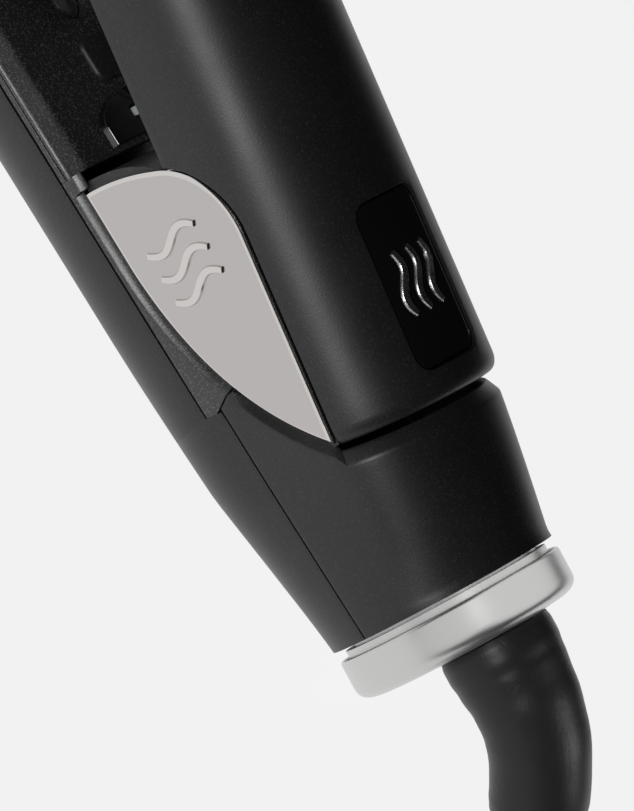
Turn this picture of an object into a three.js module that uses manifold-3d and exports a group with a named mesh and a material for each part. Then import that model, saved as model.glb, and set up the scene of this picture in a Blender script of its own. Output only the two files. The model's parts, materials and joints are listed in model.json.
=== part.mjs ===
// A two-armed hair styling iron lying open on its lower arm: millimetres, +Z up, X along the iron
// with the nose at -X and the cord at +X. The origin is under the middle of the iron, on the surface
// that it lies on.
import * as THREE from "three";
import { mergeVertices } from "three/addons/utils/BufferGeometryUtils.js";
import Module from "manifold-3d";

const wasm = await Module();
wasm.setup();

// ---------------------------------------------------------------- driving dimensions

const LENGTH = 280; // nose to the end of the collar
const TAIL = 59; // hinge pin to the end of the collar
const ARM_WIDTH = 31;
const ARM_RISE = 22.8; // plane where the plates meet to the outer face of either arm
const MATING_DROP = 1.5; // that plane lies this far below the hinge pin
const OPEN_ANGLE = THREE.MathUtils.degToRad(11.3); // upper arm at rest, sprung open
const TAIL_TILT = THREE.MathUtils.degToRad(4.5); // end collar, leaning towards the lower arm
const WALL = 2; // moulded shells
const GAP = 0.3; // between pieces that touch
const CORD_RADIUS = 3.1;

// Places along the iron, measured from the hinge pin.
const NOSE = TAIL - LENGTH;
const TIP_END = NOSE + 6.5;
const PLATE_FROM = NOSE + 9;
const PLATE_TO = PLATE_FROM + 90;
const HOLDER_TO = PLATE_TO + 5;
const TAPER_FROM = HOLDER_TO - 4;
const KNUCKLE_NOSE = -14.3;
const STRIP_SEAM = 17; // lower inner shell ends, rear housing begins
const ARM_TAIL = 28.1; // end of the upper arm behind the hinge
const REAR_FROM = 4; // lower arm starts to slim towards the collar

// Heights above the mating plane.
const INNER_FACE = 5.2;
const PARTING = 8.6; // lower shell to side strip
const REAR_PARTING = 5.7; // lower shell to rear housing
const CROWN_FLAT = 0.45; // the arch of the shell is cut flat by this much, so the iron lies still
const NOSE_SLIM = 0.8; // thickness at the nose over thickness at the handle
const PLATE_FACE = 0.15;

// Hinge.
const INSERT_RADIUS = 11;
const SHELL_CLEARANCE = 0.5;
const PIN_RADIUS = 2.5;
const CHEEK_INNER = 10.8;
const CHEEK_OUTER = 14.2;
const EAR_OUTER = 9.6;
const EAR_INNER = 7.6;

// Rear housing and collar.
const COLLAR_RADIUS = 15.2;
const COLLAR_X = 52.6;
const COLLAR_Z = -6;
const REAR_CROWN = 19.7; // lower arm's rise above the mating plane where it meets the collar
const HOUSING_CROWN_FRONT = 14.9; // top of the rear housing above the pin, at its front
const HOUSING_CROWN_REAR = 9.1;
const GROOVE = 1.4; // between the housing and the collar
const BOOT_RISE = 3.9; // boot's axis above the collar's

const HALF = ARM_WIDTH / 2;
const HINGE_X = LENGTH / 2 - TAIL;
const HINGE_Z = ARM_RISE + MATING_DROP;

// ---------------------------------------------------------------- materials

const plastic = (color, roughness) => new THREE.MeshStandardMaterial({ color, roughness, metalness: 0 });
const metal = (color, roughness) => new THREE.MeshStandardMaterial({ color, roughness, metalness: 1 });
const softBlack = plastic(0x2b2a2c, 0.55);
const stripBlack = plastic(0x353436, 0.7);
const glossBlack = plastic(0x101012, 0.15);
const heatPlastic = plastic(0x1c1c1d, 0.6);
const rubberBlack = plastic(0x232325, 0.8);
const silicone = plastic(0x8f3b2c, 0.7);
const boardGreen = plastic(0x245238, 0.6);
const lensWhite = plastic(0xdfe6ea, 0.2);
const polished = metal(0xc9c7c6, 0.12);
const satinInsert = metal(0xb8b2af, 0.3);
const springSteel = metal(0x8b8d90, 0.35);
const anodised = metal(0x4a4347, 0.3);
const ceramic = plastic(0xd8d2c4, 0.8);
const brass = metal(0xc7a35a, 0.35);

// ---------------------------------------------------------------- solid modelling helpers

/** A three.js geometry as a manifold solid. */
function solid(geometry) {
  const bare = geometry.index ? geometry.toNonIndexed() : geometry.clone();
  bare.deleteAttribute("normal");
  bare.deleteAttribute("uv");
  const merged = mergeVertices(bare, 1e-4);
  return new wasm.Manifold(
    new wasm.Mesh({
      numProp: 3,
      vertProperties: merged.attributes.position.array,
      triVerts: new Uint32Array(merged.index.array),
    }),
  );
}

/** A manifold solid as a named mesh. */
function piece(name, body, material) {
  const mesh = body.getMesh();
  const geometry = new THREE.BufferGeometry();
  geometry.setAttribute("position", new THREE.BufferAttribute(mesh.vertProperties.slice(), 3));
  geometry.setIndex(new THREE.BufferAttribute(mesh.triVerts.slice(), 1));
  geometry.computeVertexNormals();
  const made = new THREE.Mesh(geometry, material);
  made.name = name;
  return made;
}

const union = (first, ...rest) => rest.reduce((sum, next) => sum.add(next), first);
const cutting = (first, ...rest) => rest.reduce((left, next) => left.subtract(next), first);

/** An outline turned by a basis, extruded from one depth to another. */
function extruded(shape, from, to, axes, steps = 1, curveSegments = 12) {
  const geometry = new THREE.ExtrudeGeometry(shape, {
    depth: to - from,
    steps,
    bevelEnabled: false,
    curveSegments,
  });
  geometry.translate(0, 0, from);
  return geometry.applyMatrix4(axes);
}

const X = new THREE.Vector3(1, 0, 0);
const Y = new THREE.Vector3(0, 1, 0);
const Z = new THREE.Vector3(0, 0, 1);
const ALONG_X = new THREE.Matrix4().makeBasis(Y, Z, X); // outline drawn in y, z
const ACROSS_Y = new THREE.Matrix4().makeBasis(X, Z, Y.clone().negate()); // outline drawn in x, z
const UP_Z = new THREE.Matrix4(); // outline drawn in x, y

/** An outline in x, z between two places across the iron. */
const acrossY = (shape, y0, y1, segments) => solid(extruded(shape, -y1, -y0, ACROSS_Y, 1, segments));
const upZ = (shape, z0, z1, segments) => solid(extruded(shape, z0, z1, UP_Z, 1, segments));

function block(x0, x1, y0, y1, z0, z1) {
  const geometry = new THREE.BoxGeometry(x1 - x0, y1 - y0, z1 - z0);
  return solid(geometry.translate((x0 + x1) / 2, (y0 + y1) / 2, (z0 + z1) / 2));
}

/** A cylinder across the iron, about the point x, z. */
function rod(radius, y0, y1, x = 0, z = 0, sides = 32) {
  const geometry = new THREE.CylinderGeometry(radius, radius, y1 - y0, sides);
  return solid(geometry.translate(x, (y0 + y1) / 2, z));
}

/** An upright cylinder. */
function post(radius, z0, z1, x, y, sides = 20) {
  const geometry = new THREE.CylinderGeometry(radius, radius, z1 - z0, sides).rotateX(Math.PI / 2);
  return solid(geometry.translate(x, y, (z0 + z1) / 2));
}

/** A rounded rectangle, as an outline. */
function roundedRect(x0, x1, y0, y1, radius) {
  const shape = new THREE.Shape();
  shape.absarc(x1 - radius, y1 - radius, radius, 0, Math.PI / 2);
  shape.absarc(x0 + radius, y1 - radius, radius, Math.PI / 2, Math.PI);
  shape.absarc(x0 + radius, y0 + radius, radius, Math.PI, 1.5 * Math.PI);
  shape.absarc(x1 - radius, y0 + radius, radius, 1.5 * Math.PI, 2 * Math.PI);
  return shape;
}

/** Moves each vertex of a geometry; move changes the vector it is given. */
function reshaped(geometry, move) {
  const at = geometry.attributes.position;
  const point = new THREE.Vector3();
  for (let i = 0; i < at.count; i++) {
    point.fromBufferAttribute(at, i);
    move(point);
    at.setXYZ(i, point.x, point.y, point.z);
  }
  return geometry;
}

const ramp = (x, from, to) => THREE.MathUtils.clamp((x - from) / (to - from), 0, 1);

// ---------------------------------------------------------------- shells of the arms
// An arm is drawn in x, y and the height s above the mating plane; groups turn it into place.

/** Outline of an arm in y, s: straight sides, then an arch with a narrow flat on its crown. */
function archOutline(half, low, spring, crown, flat) {
  const shape = new THREE.Shape();
  shape.moveTo(half, low);
  const steps = 16;
  for (let i = 0; i <= steps; i++) {
    const angle = (Math.PI * i) / steps;
    shape.lineTo(half * Math.cos(angle), Math.min(spring + (crown - spring) * Math.sin(angle), flat));
  }
  shape.lineTo(-half, low);
  return shape;
}

const noseScale = (x) => 1 - (1 - NOSE_SLIM) * ramp(-x, -TAPER_FROM, -NOSE) ** 1.3;

/** Pulls a point of the rear housing's section onto the collar's circle, near the collar. */
function towardsCollar(point, centre, inset) {
  const pull = THREE.MathUtils.smoothstep(point.x, 34, COLLAR_X - 1.5);
  const away = Math.hypot(point.y, point.z - centre);
  const grow = 1 + pull * ((COLLAR_RADIUS - inset) / away - 1);
  point.y *= grow;
  point.z = centre + (point.z - centre) * grow;
}

/** Solid volume of an arm, set in by a wall where it is a hollow's. */
function armVolume({ inset = 0, low, from, to, rear = false }) {
  const outline = archOutline(
    HALF - inset,
    low,
    PARTING,
    ARM_RISE + CROWN_FLAT - inset,
    ARM_RISE - inset,
  );
  const geometry = extruded(outline, from, to, ALONG_X, Math.ceil((to - from) / 14));
  const rearSlim = (REAR_CROWN - REAR_PARTING) / (ARM_RISE - REAR_PARTING);
  reshaped(geometry, (p) => {
    p.z *= noseScale(p.x);
    if (rear && p.x > REAR_FROM && p.z > REAR_PARTING) {
      const slim = 1 - (1 - rearSlim) * ramp(p.x, REAR_FROM, COLLAR_X) ** 1.5;
      p.z = REAR_PARTING + (p.z - REAR_PARTING) * slim;
    }
    if (rear && p.z > REAR_PARTING - 0.1) towardsCollar(p, -MATING_DROP - COLLAR_Z, inset);
  });
  return solid(geometry).intersect(noseTrim(inset, to));
}

/** The rounded nose of an arm, seen from above and from the side, as a volume to cut with. */
function noseTrim(inset, to) {
  const plan = new THREE.Shape();
  const half = HALF - inset;
  const bow = 12;
  const far = Math.max(to, NOSE + 30) + 1;
  plan.moveTo(far, half + 1);
  plan.lineTo(NOSE + bow + 4, half + 1);
  plan.lineTo(NOSE + bow + 4, half);
  plan.absellipse(NOSE + bow, 0, bow - inset, half, Math.PI / 2, 1.5 * Math.PI);
  plan.lineTo(NOSE + bow + 4, -half);
  plan.lineTo(NOSE + bow + 4, -half - 1);
  plan.lineTo(far, -half - 1);
  const side = new THREE.Shape();
  side.moveTo(NOSE + inset, -4);
  side.lineTo(NOSE + inset, 6);
  side.quadraticCurveTo(NOSE + inset, ARM_RISE * 0.74, NOSE + 24, ARM_RISE + 0.1 - inset);
  side.lineTo(far, ARM_RISE + 0.1 - inset);
  side.lineTo(far, -4);
  return upZ(plan, -5, ARM_RISE + 2).intersect(acrossY(side, -HALF - 2, HALF + 2));
}

const TIP_INSIDE = TIP_END + GAP;

/** Cool nose of an arm: one moulding over the whole height. */
function tip() {
  const body = armVolume({ low: 3.4, from: NOSE - 1, to: TIP_END });
  return cutting(body, armVolume({ inset: WALL, low: 6, from: NOSE - 1, to: TIP_END + 1 }));
}

/** Cradle of a heating plate: a flange between the shell and the plate, and a tub inside the shell. */
function plateHolder() {
  const flange = extruded(
    roundedRect(-HALF + 0.2, HALF - 0.2, 3.4, PARTING - GAP, 1.2),
    TIP_INSIDE,
    HOLDER_TO,
    ALONG_X,
    8,
    3,
  );
  reshaped(flange, (p) => (p.z *= noseScale(p.x)));
  const tub = block(PLATE_FROM - 1, HOLDER_TO, -11.6, 11.6, 4.6, 9.4);
  const seat = upZ(roundedRect(PLATE_FROM - 0.4, PLATE_TO + 0.4, -12.9, 12.9, 1.4), 0, 4.5, 3);
  const pocket = block(PLATE_FROM + 2, PLATE_TO - 2, -10.6, 10.6, 0, 8.1);
  return cutting(union(solid(flange), tub), seat, pocket).intersect(noseTrim(WALL * 0.2, HOLDER_TO));
}

/** Heating plate: flat face towards the other arm, long edges rounded over. */
function heatingPlate() {
  const section = new THREE.Shape();
  const half = 12.5;
  section.moveTo(-half, 3.2);
  section.lineTo(-half, 1.6);
  section.quadraticCurveTo(-half, PLATE_FACE, -half + 2, PLATE_FACE);
  section.lineTo(half - 2, PLATE_FACE);
  section.quadraticCurveTo(half, PLATE_FACE, half, 1.6);
  section.lineTo(half, 3.2);
  const bar = solid(extruded(section, PLATE_FROM, PLATE_TO, ALONG_X, 1, 5));
  return bar.intersect(upZ(roundedRect(PLATE_FROM, PLATE_TO, -half, half, 1.4), -1, 5, 4));
}

const heater = () => block(PLATE_FROM + 8, PLATE_TO - 8, -8, 8, 3.5, 5.9);
const cushion = (x) => upZ(roundedRect(x - 5, x + 5, -6, 6, 2), 6.2, 7.8, 4);

/** Screw with a domed head, driven from the inner face of an arm. */
function screw(x, y) {
  const profile = [
    [0, INNER_FACE + 0.5],
    [1.6, INNER_FACE + 0.7],
    [2.5, INNER_FACE + 1.3],
    [2.5, INNER_FACE + 1.7],
    [1.2, INNER_FACE + 1.7],
    [1.2, INNER_FACE + 8],
    [0, INNER_FACE + 8],
  ].map(([r, h]) => new THREE.Vector2(r, h));
  const geometry = new THREE.LatheGeometry(profile, 16).rotateX(Math.PI / 2);
  return solid(geometry.translate(x, y, 0));
}

const screwWell = (x, y) => union(post(2.9, 0, INNER_FACE + 2, x, y), post(1.6, 0, 12, x, y));
const SCREWS = [
  { name: "front", x: HOLDER_TO + 8 },
  { name: "rear", x: -36 },
];

// ---------------------------------------------------------------- outline of the hinge

// The round of the hinge gives way to the nose of the knuckle at this angle above the arm.
const NOSE_MEETS = THREE.MathUtils.degToRad(19);

/** Leaf outline of the side insert in x, z, grown by a margin. */
function insertOutline(margin = 0) {
  const radius = INSERT_RADIUS + margin;
  const shape = new THREE.Shape();
  const lean = Math.PI / 2 - OPEN_ANGLE;
  const tipX = 29.3 + margin * 1.6;
  const topX = radius * Math.cos(lean);
  const topZ = radius * Math.sin(lean);
  shape.moveTo(-13 - margin, -7.9 - margin);
  shape.quadraticCurveTo(-12.6 - margin, -2, -radius * Math.cos(NOSE_MEETS), radius * Math.sin(NOSE_MEETS));
  shape.absarc(0, 0, radius, Math.PI - NOSE_MEETS, lean, true);
  shape.lineTo(tipX, topZ - (tipX - topX) * Math.tan(OPEN_ANGLE));
  shape.quadraticCurveTo(17.5 + margin * 0.4, -7.5 - margin, -2, -8 - margin);
  return shape;
}

// ---------------------------------------------------------------- lower arm

function lowerOuterShell() {
  const end = COLLAR_X + 4;
  const body = armVolume({ low: REAR_PARTING, from: TIP_INSIDE, to: end, rear: true });
  const hollow = armVolume({ inset: WALL, low: REAR_PARTING, from: TIP_INSIDE - 1, to: end + 1, rear: true });
  const mouth = block(TIP_INSIDE - 1, end + 1, -HALF + WALL, HALF - WALL, 0, PARTING + 0.2);
  const aboveStrip = block(NOSE, STRIP_SEAM + 1.4, -HALF - 1, HALF + 1, 0, PARTING);
  const holderRoom = solid(
    reshaped(
      extruded(roundedRect(-HALF - 1, HALF + 1, 0, PARTING, 0.2), NOSE, HOLDER_TO + 1, ALONG_X, 8, 1),
      (p) => (p.z *= noseScale(p.x)),
    ),
  );
  const beyond = solid(behindHousing().rotateX(Math.PI).translate(0, 0, -MATING_DROP));
  return cutting(body, hollow, mouth, aboveStrip, holderRoom, beyond);
}

/** Inner face of the lower arm with its textured side strips, which run on under the side inserts. */
function lowerInnerShell() {
  const section = new THREE.Shape();
  const half = HALF - 0.1;
  const low = PARTING - GAP;
  section.moveTo(-half, low);
  section.lineTo(-half, 7.4);
  section.quadraticCurveTo(-half, INNER_FACE, -half + 4, INNER_FACE);
  section.lineTo(half - 4, INNER_FACE);
  section.quadraticCurveTo(half, INNER_FACE, half, 7.4);
  section.lineTo(half, low);
  section.lineTo(half - 2.5, low);
  section.lineTo(half - 3, 7.2);
  section.lineTo(-half + 3, 7.2);
  section.lineTo(-half + 2.5, low);
  const face = solid(extruded(section, HOLDER_TO + GAP, KNUCKLE_NOSE - 1.4, ALONG_X, 1, 5));
  const stripSide = new THREE.Shape();
  const top = -MATING_DROP;
  stripSide.moveTo(KNUCKLE_NOSE - 3, low);
  stripSide.lineTo(KNUCKLE_NOSE - 3, 7);
  stripSide.lineTo(0, 4.4);
  stripSide.lineTo(STRIP_SEAM - 2.6, top + 4.4);
  stripSide.lineTo(STRIP_SEAM - 1.2, 3.6);
  stripSide.lineTo(STRIP_SEAM + 1.1, low);
  const flipped = insertOutline(0.35).getPoints(10).map((p) => new THREE.Vector2(p.x, -MATING_DROP - p.y));
  const room = new THREE.Shape(flipped.reverse());
  const strips = [-1, 1].map((side) => {
    const y = side * (CHEEK_OUTER + GAP);
    const wall = acrossY(stripSide, Math.min(y, side * half), Math.max(y, side * half));
    return cutting(wall, acrossY(room, -HALF - 1, HALF + 1));
  });
  const wells = SCREWS.map((s) => screwWell(s.x, 0));
  const island = upZ(islandOutline(0.3), 0, 12, 8);
  const key = upZ(buttonOutline(0.3), 0, 12, 4);
  return cutting(union(face, ...strips), ...wells, island, key);
}

// Controls on the inner face: a raised gloss island towards the hinge, and a button before it.
const ISLAND = { from: -23, to: KNUCKLE_NOSE - 2.2, half: 7.4 };
const BUTTON = { x: -27.6, length: 6.4, half: 3.2 };

function islandOutline(margin = 0) {
  const { from, to, half } = ISLAND;
  const shape = new THREE.Shape();
  shape.moveTo(to + margin, half + margin);
  shape.lineTo(from + 4, half + margin);
  shape.absellipse(from + 4, 0, 4 + margin, half + margin, Math.PI / 2, 1.5 * Math.PI);
  shape.lineTo(to + margin, -half - margin);
  return shape;
}

function buttonOutline(margin = 0) {
  const { x, length, half } = BUTTON;
  const reach = length / 2 + margin;
  return roundedRect(x - reach, x + reach, -half - margin, half + margin, 1.6 + margin);
}

function controlIsland() {
  const base = upZ(islandOutline(), INNER_FACE - 1.1, 8, 8);
  const pit = upZ(roundedRect(-20.4, -18.6, -2.4, 2.4, 0.6), 0, INNER_FACE + 0.6, 3);
  return cutting(base, pit);
}

const statusLens = () => upZ(roundedRect(-20.1, -18.9, -2.1, 2.1, 0.4), INNER_FACE - 0.7, INNER_FACE + 0.3, 3);

function powerButton() {
  const stem = upZ(buttonOutline(), INNER_FACE - 0.6, 8.6, 4);
  return union(stem, upZ(roundedRect(BUTTON.x - 4, BUTTON.x + 4, -3.9, 3.9, 1), 7.9, 8.8, 3));
}

function circuitBoard() {
  const board = upZ(roundedRect(-105, -22, -10.5, 10.5, 1.5), 10.4, 12, 3);
  const relay = block(-92, -78, -6, 6, 11.9, 16.5);
  const chip = block(-62, -52, -4, 4, 11.9, 13.4);
  const key = block(BUTTON.x - 3, BUTTON.x + 3, -3, 3, 9.8, 10.5);
  return cutting(union(board, relay, chip, key), post(1.7, 9, 14, SCREWS[1].x, 0));
}

// ---------------------------------------------------------------- rear housing, drawn about the hinge pin

/** Volume of the rear housing above the lower shell, set in by a wall where it is a hollow's. */
function housingVolume(inset, low) {
  const from = STRIP_SEAM - 3;
  const to = COLLAR_X + 4;
  const spring = 2.6;
  const crown = HOUSING_CROWN_FRONT;
  const outline = archOutline(HALF - inset, low, spring, crown - inset, crown);
  const geometry = extruded(outline, from, to, ALONG_X, 14);
  const floor = -MATING_DROP - REAR_PARTING;
  reshaped(geometry, (p) => {
    const fall = ramp(p.x, 31, COLLAR_X - 1.5);
    const here = THREE.MathUtils.lerp(crown, HOUSING_CROWN_REAR, fall);
    if (p.z > floor) p.z = floor + ((p.z - floor) * (here - floor)) / (crown - floor);
    towardsCollar(p, COLLAR_Z, inset);
  });
  return solid(geometry);
}

/** Everything behind the place where the housing ends, in front of the collar. */
function behindHousing() {
  const far = new THREE.BoxGeometry(40, 60, 80).translate(20 - GROOVE, 0, 0);
  return far.rotateY(TAIL_TILT).translate(COLLAR_X, 0, COLLAR_Z);
}

/** Everything in front of the upper arm's tail, with a margin behind it. */
function beforeTail(margin) {
  const near = new THREE.BoxGeometry(80, 60, 60).translate(ARM_TAIL + margin - 40, 0, 30);
  return solid(near.rotateY(OPEN_ANGLE));
}

function rearTopShell() {
  const low = -MATING_DROP - REAR_PARTING + GAP;
  const body = housingVolume(0, low);
  const hollow = housingVolume(WALL, low - 1).intersect(block(31.6, 80, -20, 20, -20, 30));
  const knuckleRoom = block(0, 30, -CHEEK_OUTER - GAP, CHEEK_OUTER + GAP, -20, 30);
  const insertRoom = acrossY(insertOutline(0.35), -HALF - 1, HALF + 1, 10);
  const seam = new THREE.Shape();
  seam.moveTo(0, low - 1);
  seam.lineTo(STRIP_SEAM + 1.5, low - 1);
  seam.lineTo(STRIP_SEAM - 2, 0);
  seam.lineTo(0, 0);
  const front = acrossY(seam, -HALF - 1, HALF + 1);
  const overInsert = block(0, 28.2, -HALF - 1, HALF + 1, 2, 40);
  return cutting(body, hollow, knuckleRoom, insertRoom, front, overInsert, beforeTail(0.7), solid(behindHousing()));
}

// ---------------------------------------------------------------- hinge, drawn about its pin

function hingeKnuckle() {
  const outline = new THREE.Shape();
  const lean = Math.PI / 2 - OPEN_ANGLE;
  const radius = INSERT_RADIUS;
  const end = 29.6;
  outline.moveTo(KNUCKLE_NOSE, -7.8);
  outline.quadraticCurveTo(
    KNUCKLE_NOSE + 0.6,
    0,
    -radius * Math.cos(NOSE_MEETS),
    radius * Math.sin(NOSE_MEETS),
  );
  outline.absarc(0, 0, radius, Math.PI - NOSE_MEETS, lean, true);
  outline.lineTo(end, radius * Math.sin(lean) - (end - radius * Math.cos(lean)) * Math.tan(OPEN_ANGLE));
  outline.lineTo(end, -1.3);
  outline.lineTo(21, -6.1);
  outline.lineTo(15, -7.8);
  const cheeks = acrossY(outline, -CHEEK_OUTER, CHEEK_OUTER, 14);
  const foot = block(-12, 27, -12.2, 12.2, -12.3, -6.9);
  const earRoom = rod(9.5, -CHEEK_INNER, CHEEK_INNER, 0, 0, 40);
  const throat = block(-8.6, 10.5, -CHEEK_INNER, CHEEK_INNER, 0, 14);
  const cavity = block(12, 28, -11, 11, -20, 2);
  const bore = rod(PIN_RADIUS + GAP, -13.4, 13.4);
  return cutting(union(cheeks, foot), earRoom, throat, cavity, bore);
}

/** Metal insert with a slightly narrower outer face, as its edge is bevelled. */
function sideInsert(side) {
  const inner = CHEEK_OUTER + GAP;
  const plate = acrossY(insertOutline(), Math.min(side * inner, side * 15), Math.max(side * inner, side * 15), 10);
  const face = acrossY(insertOutline(-0.8), Math.min(side * 14.9, side * 15.4), Math.max(side * 14.9, side * 15.4), 10);
  return union(plate, face);
}

/** Torsion spring wound round the pin, with a leg for each arm. */
function hingeSpring() {
  const turns = 4;
  const coil = 4.8;
  const width = 9;
  const points = [new THREE.Vector3(-coil, -width / 2, -7)];
  const perTurn = 12;
  for (let i = 0; i <= turns * perTurn + perTurn / 2; i++) {
    const angle = Math.PI + (2 * Math.PI * i) / perTurn;
    const y = -width / 2 + (width * i) / (turns * perTurn + perTurn / 2);
    points.push(new THREE.Vector3(coil * Math.cos(angle), y, -coil * Math.sin(angle)));
  }
  points.push(new THREE.Vector3(coil, width / 2, 7.6));
  const path = new THREE.CatmullRomCurve3(points, false, "centripetal");
  const wire = new THREE.Shape().absarc(0, 0, 0.7, 0, 2 * Math.PI);
  return solid(
    new THREE.ExtrudeGeometry(wire, { steps: 58, bevelEnabled: false, extrudePath: path, curveSegments: 3 }),
  );
}

/** Steel frame of the upper arm: a strap in the shell with two ears down to the pin. Drawn about the pin. */
function upperHingeFrame() {
  const strap = upZ(roundedRect(-52, 22, -EAR_OUTER, EAR_OUTER, 3), 12.3, 14.1, 4);
  const ear = new THREE.Shape();
  ear.moveTo(8, 12.6);
  ear.lineTo(-7, 12.6);
  ear.lineTo(-7.6, 3);
  ear.absarc(0, 0, 8.2, Math.PI - 0.37, 2 * Math.PI + 0.37);
  const ears = [-1, 1].map((side) =>
    acrossY(ear, Math.min(side * EAR_INNER, side * EAR_OUTER), Math.max(side * EAR_INNER, side * EAR_OUTER), 12),
  );
  return cutting(union(strap, ...ears), rod(PIN_RADIUS + GAP, -12, 12), post(1.6, 10, 16, -36, 0));
}

function washer(side) {
  const near = EAR_OUTER + GAP;
  const ring = [
    [PIN_RADIUS + GAP, near],
    [6, near],
    [6, near + 0.6],
    [PIN_RADIUS + GAP, near + 0.6],
    [PIN_RADIUS + GAP, near],
  ].map(([r, y]) => new THREE.Vector2(r, side * y));
  return solid(new THREE.LatheGeometry(side > 0 ? ring : ring.reverse(), 24));
}

// ---------------------------------------------------------------- upper arm

function upperOuterShell() {
  const body = armVolume({ low: INNER_FACE, from: TIP_INSIDE, to: ARM_TAIL });
  const hollow = armVolume({ inset: WALL, low: 0, from: TIP_INSIDE - 1, to: ARM_TAIL - WALL });
  const holderRoom = solid(
    reshaped(
      extruded(roundedRect(-HALF - 1, HALF + 1, 0, PARTING, 0.2), NOSE, HOLDER_TO + GAP, ALONG_X, 8, 1),
      (p) => (p.z *= noseScale(p.x)),
    ),
  );
  const sweep = rod(INSERT_RADIUS + SHELL_CLEARANCE, -20, 20, 0, MATING_DROP, 48);
  const overHinge = block(0, 40, -20, 20, 0, INSERT_RADIUS + SHELL_CLEARANCE + MATING_DROP);
  const window = upZ(badgeOutline(GAP), ARM_RISE - 2.6, ARM_RISE + 2, 5);
  const mouth = block(TIP_INSIDE - 1, HOLDER_TO, -HALF + WALL, HALF - WALL, 0, PARTING + 0.2);
  return cutting(body, hollow, mouth, holderRoom, sweep, overHinge, window);
}

function upperInnerShell() {
  const half = HALF - WALL - GAP;
  const face = upZ(roundedRect(HOLDER_TO + GAP, -13, -half, half, 1), INNER_FACE, INNER_FACE + 2, 4);
  return cutting(face, ...SCREWS.map((s) => screwWell(s.x, 0)), rod(INSERT_RADIUS + 0.8, -20, 20, 0, MATING_DROP, 40));
}

// Badge: a gloss window let into the upper arm's crown, with a raised emblem.
const BADGE = { x: 13.4, length: 21.4, half: 5.8 };

function badgeOutline(margin = 0) {
  const { x, length, half } = BADGE;
  const reach = length / 2 + margin;
  return roundedRect(x - reach, x + reach, -half - margin, half + margin, 2 + margin);
}

function badgeWindow() {
  const arch = armVolume({ inset: 0.5, low: 0, from: 0, to: ARM_TAIL });
  return upZ(badgeOutline(), ARM_RISE - 2.4, ARM_RISE + 2, 5).intersect(arch);
}

/** Three rising waves, the sign for heat, on one thin backing. */
function badgeEmblem() {
  const low = ARM_RISE - 0.5 + GAP;
  const wave = (y) => {
    const shape = new THREE.Shape();
    const points = [];
    const steps = 8;
    for (let i = 0; i <= steps; i++) {
      const along = i / steps;
      points.push([-3.6 + 7.2 * along, y + 0.75 * Math.sin(2 * Math.PI * along)]);
    }
    const far = points.map(([px, py]) => [px, py + 0.8]).reverse();
    [...points, ...far].forEach(([px, py], i) =>
      i ? shape.lineTo(BADGE.x + px, py) : shape.moveTo(BADGE.x + px, py),
    );
    return upZ(shape, low, low + 0.9);
  };
  const backing = new THREE.CylinderGeometry(4.4, 4.4, 0.3, 32).rotateX(Math.PI / 2);
  const disc = solid(backing.translate(BADGE.x, 0, low + 0.15));
  return union(disc, wave(-2.9), wave(-0.4), wave(2.1));
}

// ---------------------------------------------------------------- tail, drawn along the collar's axis

function lathed(profile, segments = 36, y = 0, z = 0) {
  const points = profile.map(([r, x]) => new THREE.Vector2(r, x));
  return solid(new THREE.LatheGeometry(points, segments).rotateZ(-Math.PI / 2).translate(0, y, z));
}

const BUSH_RADIUS = 8;
const FLANGE_RADIUS = 8.9;

function endCollar() {
  const body = lathed([
    [0, -6],
    [12.6, -6],
    [12.6, -0.9],
    [13.9, -0.9],
    [13.9, 0],
    [15, 0],
    [COLLAR_RADIUS, 0.25],
    [COLLAR_RADIUS, 4],
    [14.9, 4.9],
    [14.1, 5.5],
    [12.9, 5.8],
    [0, 5.8],
  ]);
  const hollow = lathed([
    [0, -7],
    [10.8, -7],
    [10.8, 2.6],
    [0, 2.6],
  ]);
  const mouth = rodAlong(BUSH_RADIUS + GAP, 0, 10, BOOT_RISE);
  const room = rodAlong(FLANGE_RADIUS + GAP, -8, 2.6, BOOT_RISE);
  return cutting(body, hollow, mouth, room);
}

/** A cylinder along the tail's axis, raised above it. */
function rodAlong(radius, x0, x1, rise = 0, sides = 32) {
  const geometry = new THREE.CylinderGeometry(radius, radius, x1 - x0, sides).rotateZ(-Math.PI / 2);
  return solid(geometry.translate((x0 + x1) / 2, 0, rise));
}

/** Bush that turns in the collar and carries the boot. */
function swivelBush() {
  const neck = rodAlong(BUSH_RADIUS, -0.8, 5.6, BOOT_RISE);
  const flange = rodAlong(FLANGE_RADIUS, -0.8, 2.2, BOOT_RISE);
  const passage = rodAlong(CORD_RADIUS + GAP, -3, 7, BOOT_RISE, 16);
  return cutting(union(neck, flange), passage);
}

/** Clamp that holds the lead inside the housing. */
function cordClamp() {
  const bar = block(-16, -8, -8, 8, -10.5, -6);
  return cutting(bar, rodAlong(CORD_RADIUS, -20, 0, -5, 16));
}

// Boot: its centre line in x, z about the pin, bending down under the weight of the lead.
const BOOT_LINE = new THREE.CatmullRomCurve3(
  [
    [58.85, -2.6],
    [63.5, -2.96],
    [68, -3.5],
    [72.6, -5.2],
    [76.9, -8.4],
    [80.6, -12],
    [84, -14.7],
    [87.4, -16.8],
  ].map(([x, z]) => new THREE.Vector3(x, 0, z)),
);

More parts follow.
